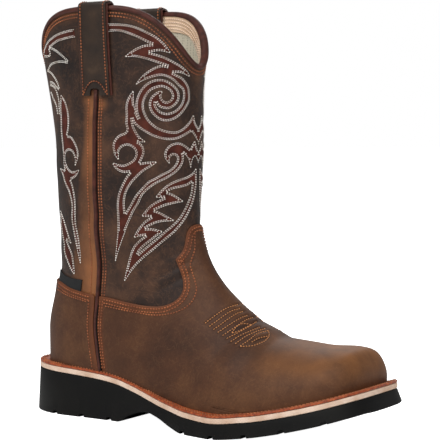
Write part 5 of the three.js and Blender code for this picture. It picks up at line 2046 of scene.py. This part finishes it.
pattern_outlines = [
    outline_of(
        FRONT_UPPER_BAND, FRONT_INNER_SPIRAL, turned(FRONT_CRESCENT_FOOT),
        [[(131.8, 117.2), (133.3, 91.0)]], turned(FRONT_CRESCENT), turned(FRONT_LOWER_BAND),
    ),
    outline_of(FRONT_FLAME, [[(115.5, 261.3), (125.2, 214.1)]], turned(FRONT_FLAME_TAIL),
               [[(131.8, 117.2), (133.8, 104.9), (133.3, 91.0)]]),
    outline_of(RIGHT_SCROLL, RIGHT_SCROLL_FOOT, [[(115.5, 261.3), (125.2, 214.1)]]),
    outline_of(BACK_BAND, BACK_BAND_FOOT),
    outline_of(BACK_FLAME),
    outline_of(BACK_LEAF),
]
leaf_outline, leaf_hole = outline_of(LEAF_OUTER), outline_of(LEAF_INNER)
MM_PER_COLUMN = float(half_run[int(FORM_ROWS * 0.7), 0] / FORM_SIDE)
MM_PER_ROW = float(row_rise[int(FORM_ROWS * 0.7), FORM_SIDE // 2, 0])
INLAY_STEP = 0.75
INLAY_THICKNESS = 0.22


def signed_inset(outline, rows, columns):
    """How far places lie inside a closed outline, in millimetres, negative outside."""
    scale = np.array((MM_PER_ROW, MM_PER_COLUMN))
    closed = np.vstack((outline, outline[:1])) * scale
    flat = np.stack((rows, columns), axis=-1) * scale
    return distance_to(closed, flat) * np.where(inside_of(outline, rows, columns), 1, -1)


def inlay_sheet(outlines, holes=()):
    """One sheet over the outlines less the holes."""
    everything = np.vstack(outlines)
    low, high = everything.min(axis=0) - 1, everything.max(axis=0) + 1
    row_line = np.arange(low[0], high[0], INLAY_STEP / MM_PER_ROW)
    column_line = np.arange(max(low[1], 0), min(high[1], FORM_SIDE), INLAY_STEP / MM_PER_COLUMN)
    rows, columns = np.meshgrid(row_line, column_line, indexing="ij")
    inset = np.full(rows.shape, -np.inf)
    for outline in outlines:
        inset = np.maximum(inset, signed_inset(outline, rows, columns))
    for hole in holes:
        inset = np.minimum(inset, -signed_inset(hole, rows, columns))
    return clip_sheet(rows, columns, inset)


inlay_points, inlay_faces, inlay_start = [], [], 0
for outlines, holes in (
    (pattern_outlines[:3], ()), ([leaf_outline], [leaf_hole]), (pattern_outlines[3:], ()),
):
    (rows, columns), faces = inlay_sheet(outlines, holes)
    for flip in (1, -1):
        points = on_form(rows, columns * flip, UPPER_WALL + INLAY_THICKNESS)
        inlay_points.append(points)
        inlay_faces += [[inlay_start + i for i in face[::flip]] for face in faces]
        inlay_start += len(points)
pattern_inlay = build_mesh("pattern_inlay", np.vstack(inlay_points), inlay_faces)
# Thin suede-side leather, dyed oxblood: matt, a little furry, darker where it is handled.
inlay_leather = mottled(
    "oxblood_inlay_leather", ("TexNoise", {"size": 6, "Detail": 5.0}),
    [(0.3, "#361912"), (0.7, "#582a20")], {"Roughness": 0.8, "Specular IOR Level": 0.2},
)
finish_piece(pattern_inlay, inlay_leather)

# The ornament's rows: two close rows of pale thread along every line of the pattern.
# Mercerised cotton thread, off-white and soiled grey in places.
pattern_thread = mottled(
    "pale_cotton_thread", ("TexNoise", {"size": 9, "Detail": 4.0}),
    [(0.3, "#d2c8bb"), (0.55, "#fffaf2")], {"Roughness": 0.7},
)
PATTERN_PITCH = 1.9
PATTERN_THREAD = 0.31
PATTERN_COVER = 0.66
ROW_SPACING = 1.0
ROW_CLEARANCE = 0.62
BAND_SPACINGS = 2.2
CORNER_SHARE = 0.75
PATTERN_GROWTH = UPPER_WALL + INLAY_THICKNESS
inlaid_lines = [
    FRONT_UPPER_BAND, FRONT_INNER_SPIRAL, FRONT_LOWER_BAND, FRONT_CRESCENT, FRONT_CRESCENT_FOOT,
    FRONT_FLAME, FRONT_FLAME_TAIL, RIGHT_SCROLL, RIGHT_SCROLL_FOOT, LEAF_OUTER, LEAF_INNER,
    BACK_BAND, BACK_BAND_FOOT, BACK_FLAME, BACK_LEAF,
]


def inlay_inset(places):
    """How far places of the outer side lie inside the inlay, in millimetres, negative outside."""
    rows, columns = places[:, 0], places[:, 1]
    insets = [signed_inset(outline, rows, columns) for outline in pattern_outlines]
    leaf = np.minimum(
        signed_inset(leaf_outline, rows, columns), -signed_inset(leaf_hole, rows, columns)
    )
    return np.max([*insets, leaf], axis=0)


pattern_rows = {"outer": [], "inner": []}
for line in [*inlaid_lines, BACK_SCROLL]:
    for stretch in line:
        places = pattern_places([stretch])
        row = row_on(places, PATTERN_GROWTH)
        pattern_rows["outer"].append(row)
        pattern_rows["inner"].append(row_on(mirrored(places), PATTERN_GROWTH))
        for away in (ROW_SPACING, -ROW_SPACING):
            near = places_beside(row, away, PATTERN_GROWTH)
            if line is BACK_SCROLL:
                keep = np.full(len(near), away > 0)
            else:
                far = places_beside(row, away * BAND_SPACINGS, PATTERN_GROWTH)
                own = np.linalg.norm((near - places) * (MM_PER_ROW, MM_PER_COLUMN), axis=1)
                keep = (inlay_inset(near) > CORNER_SHARE * own) & (inlay_inset(far) > ROW_CLEARANCE)
            pattern_rows["outer"] += kept_runs(row_on(near, PATTERN_GROWTH), keep)
            pattern_rows["inner"] += kept_runs(row_on(mirrored(near), PATTERN_GROWTH), keep)
for side, rows in pattern_rows.items():
    stitching(
        "pattern_stitches_" + side, rows, PATTERN_PITCH, PATTERN_THREAD, pattern_thread,
        PATTERN_COVER,
    )
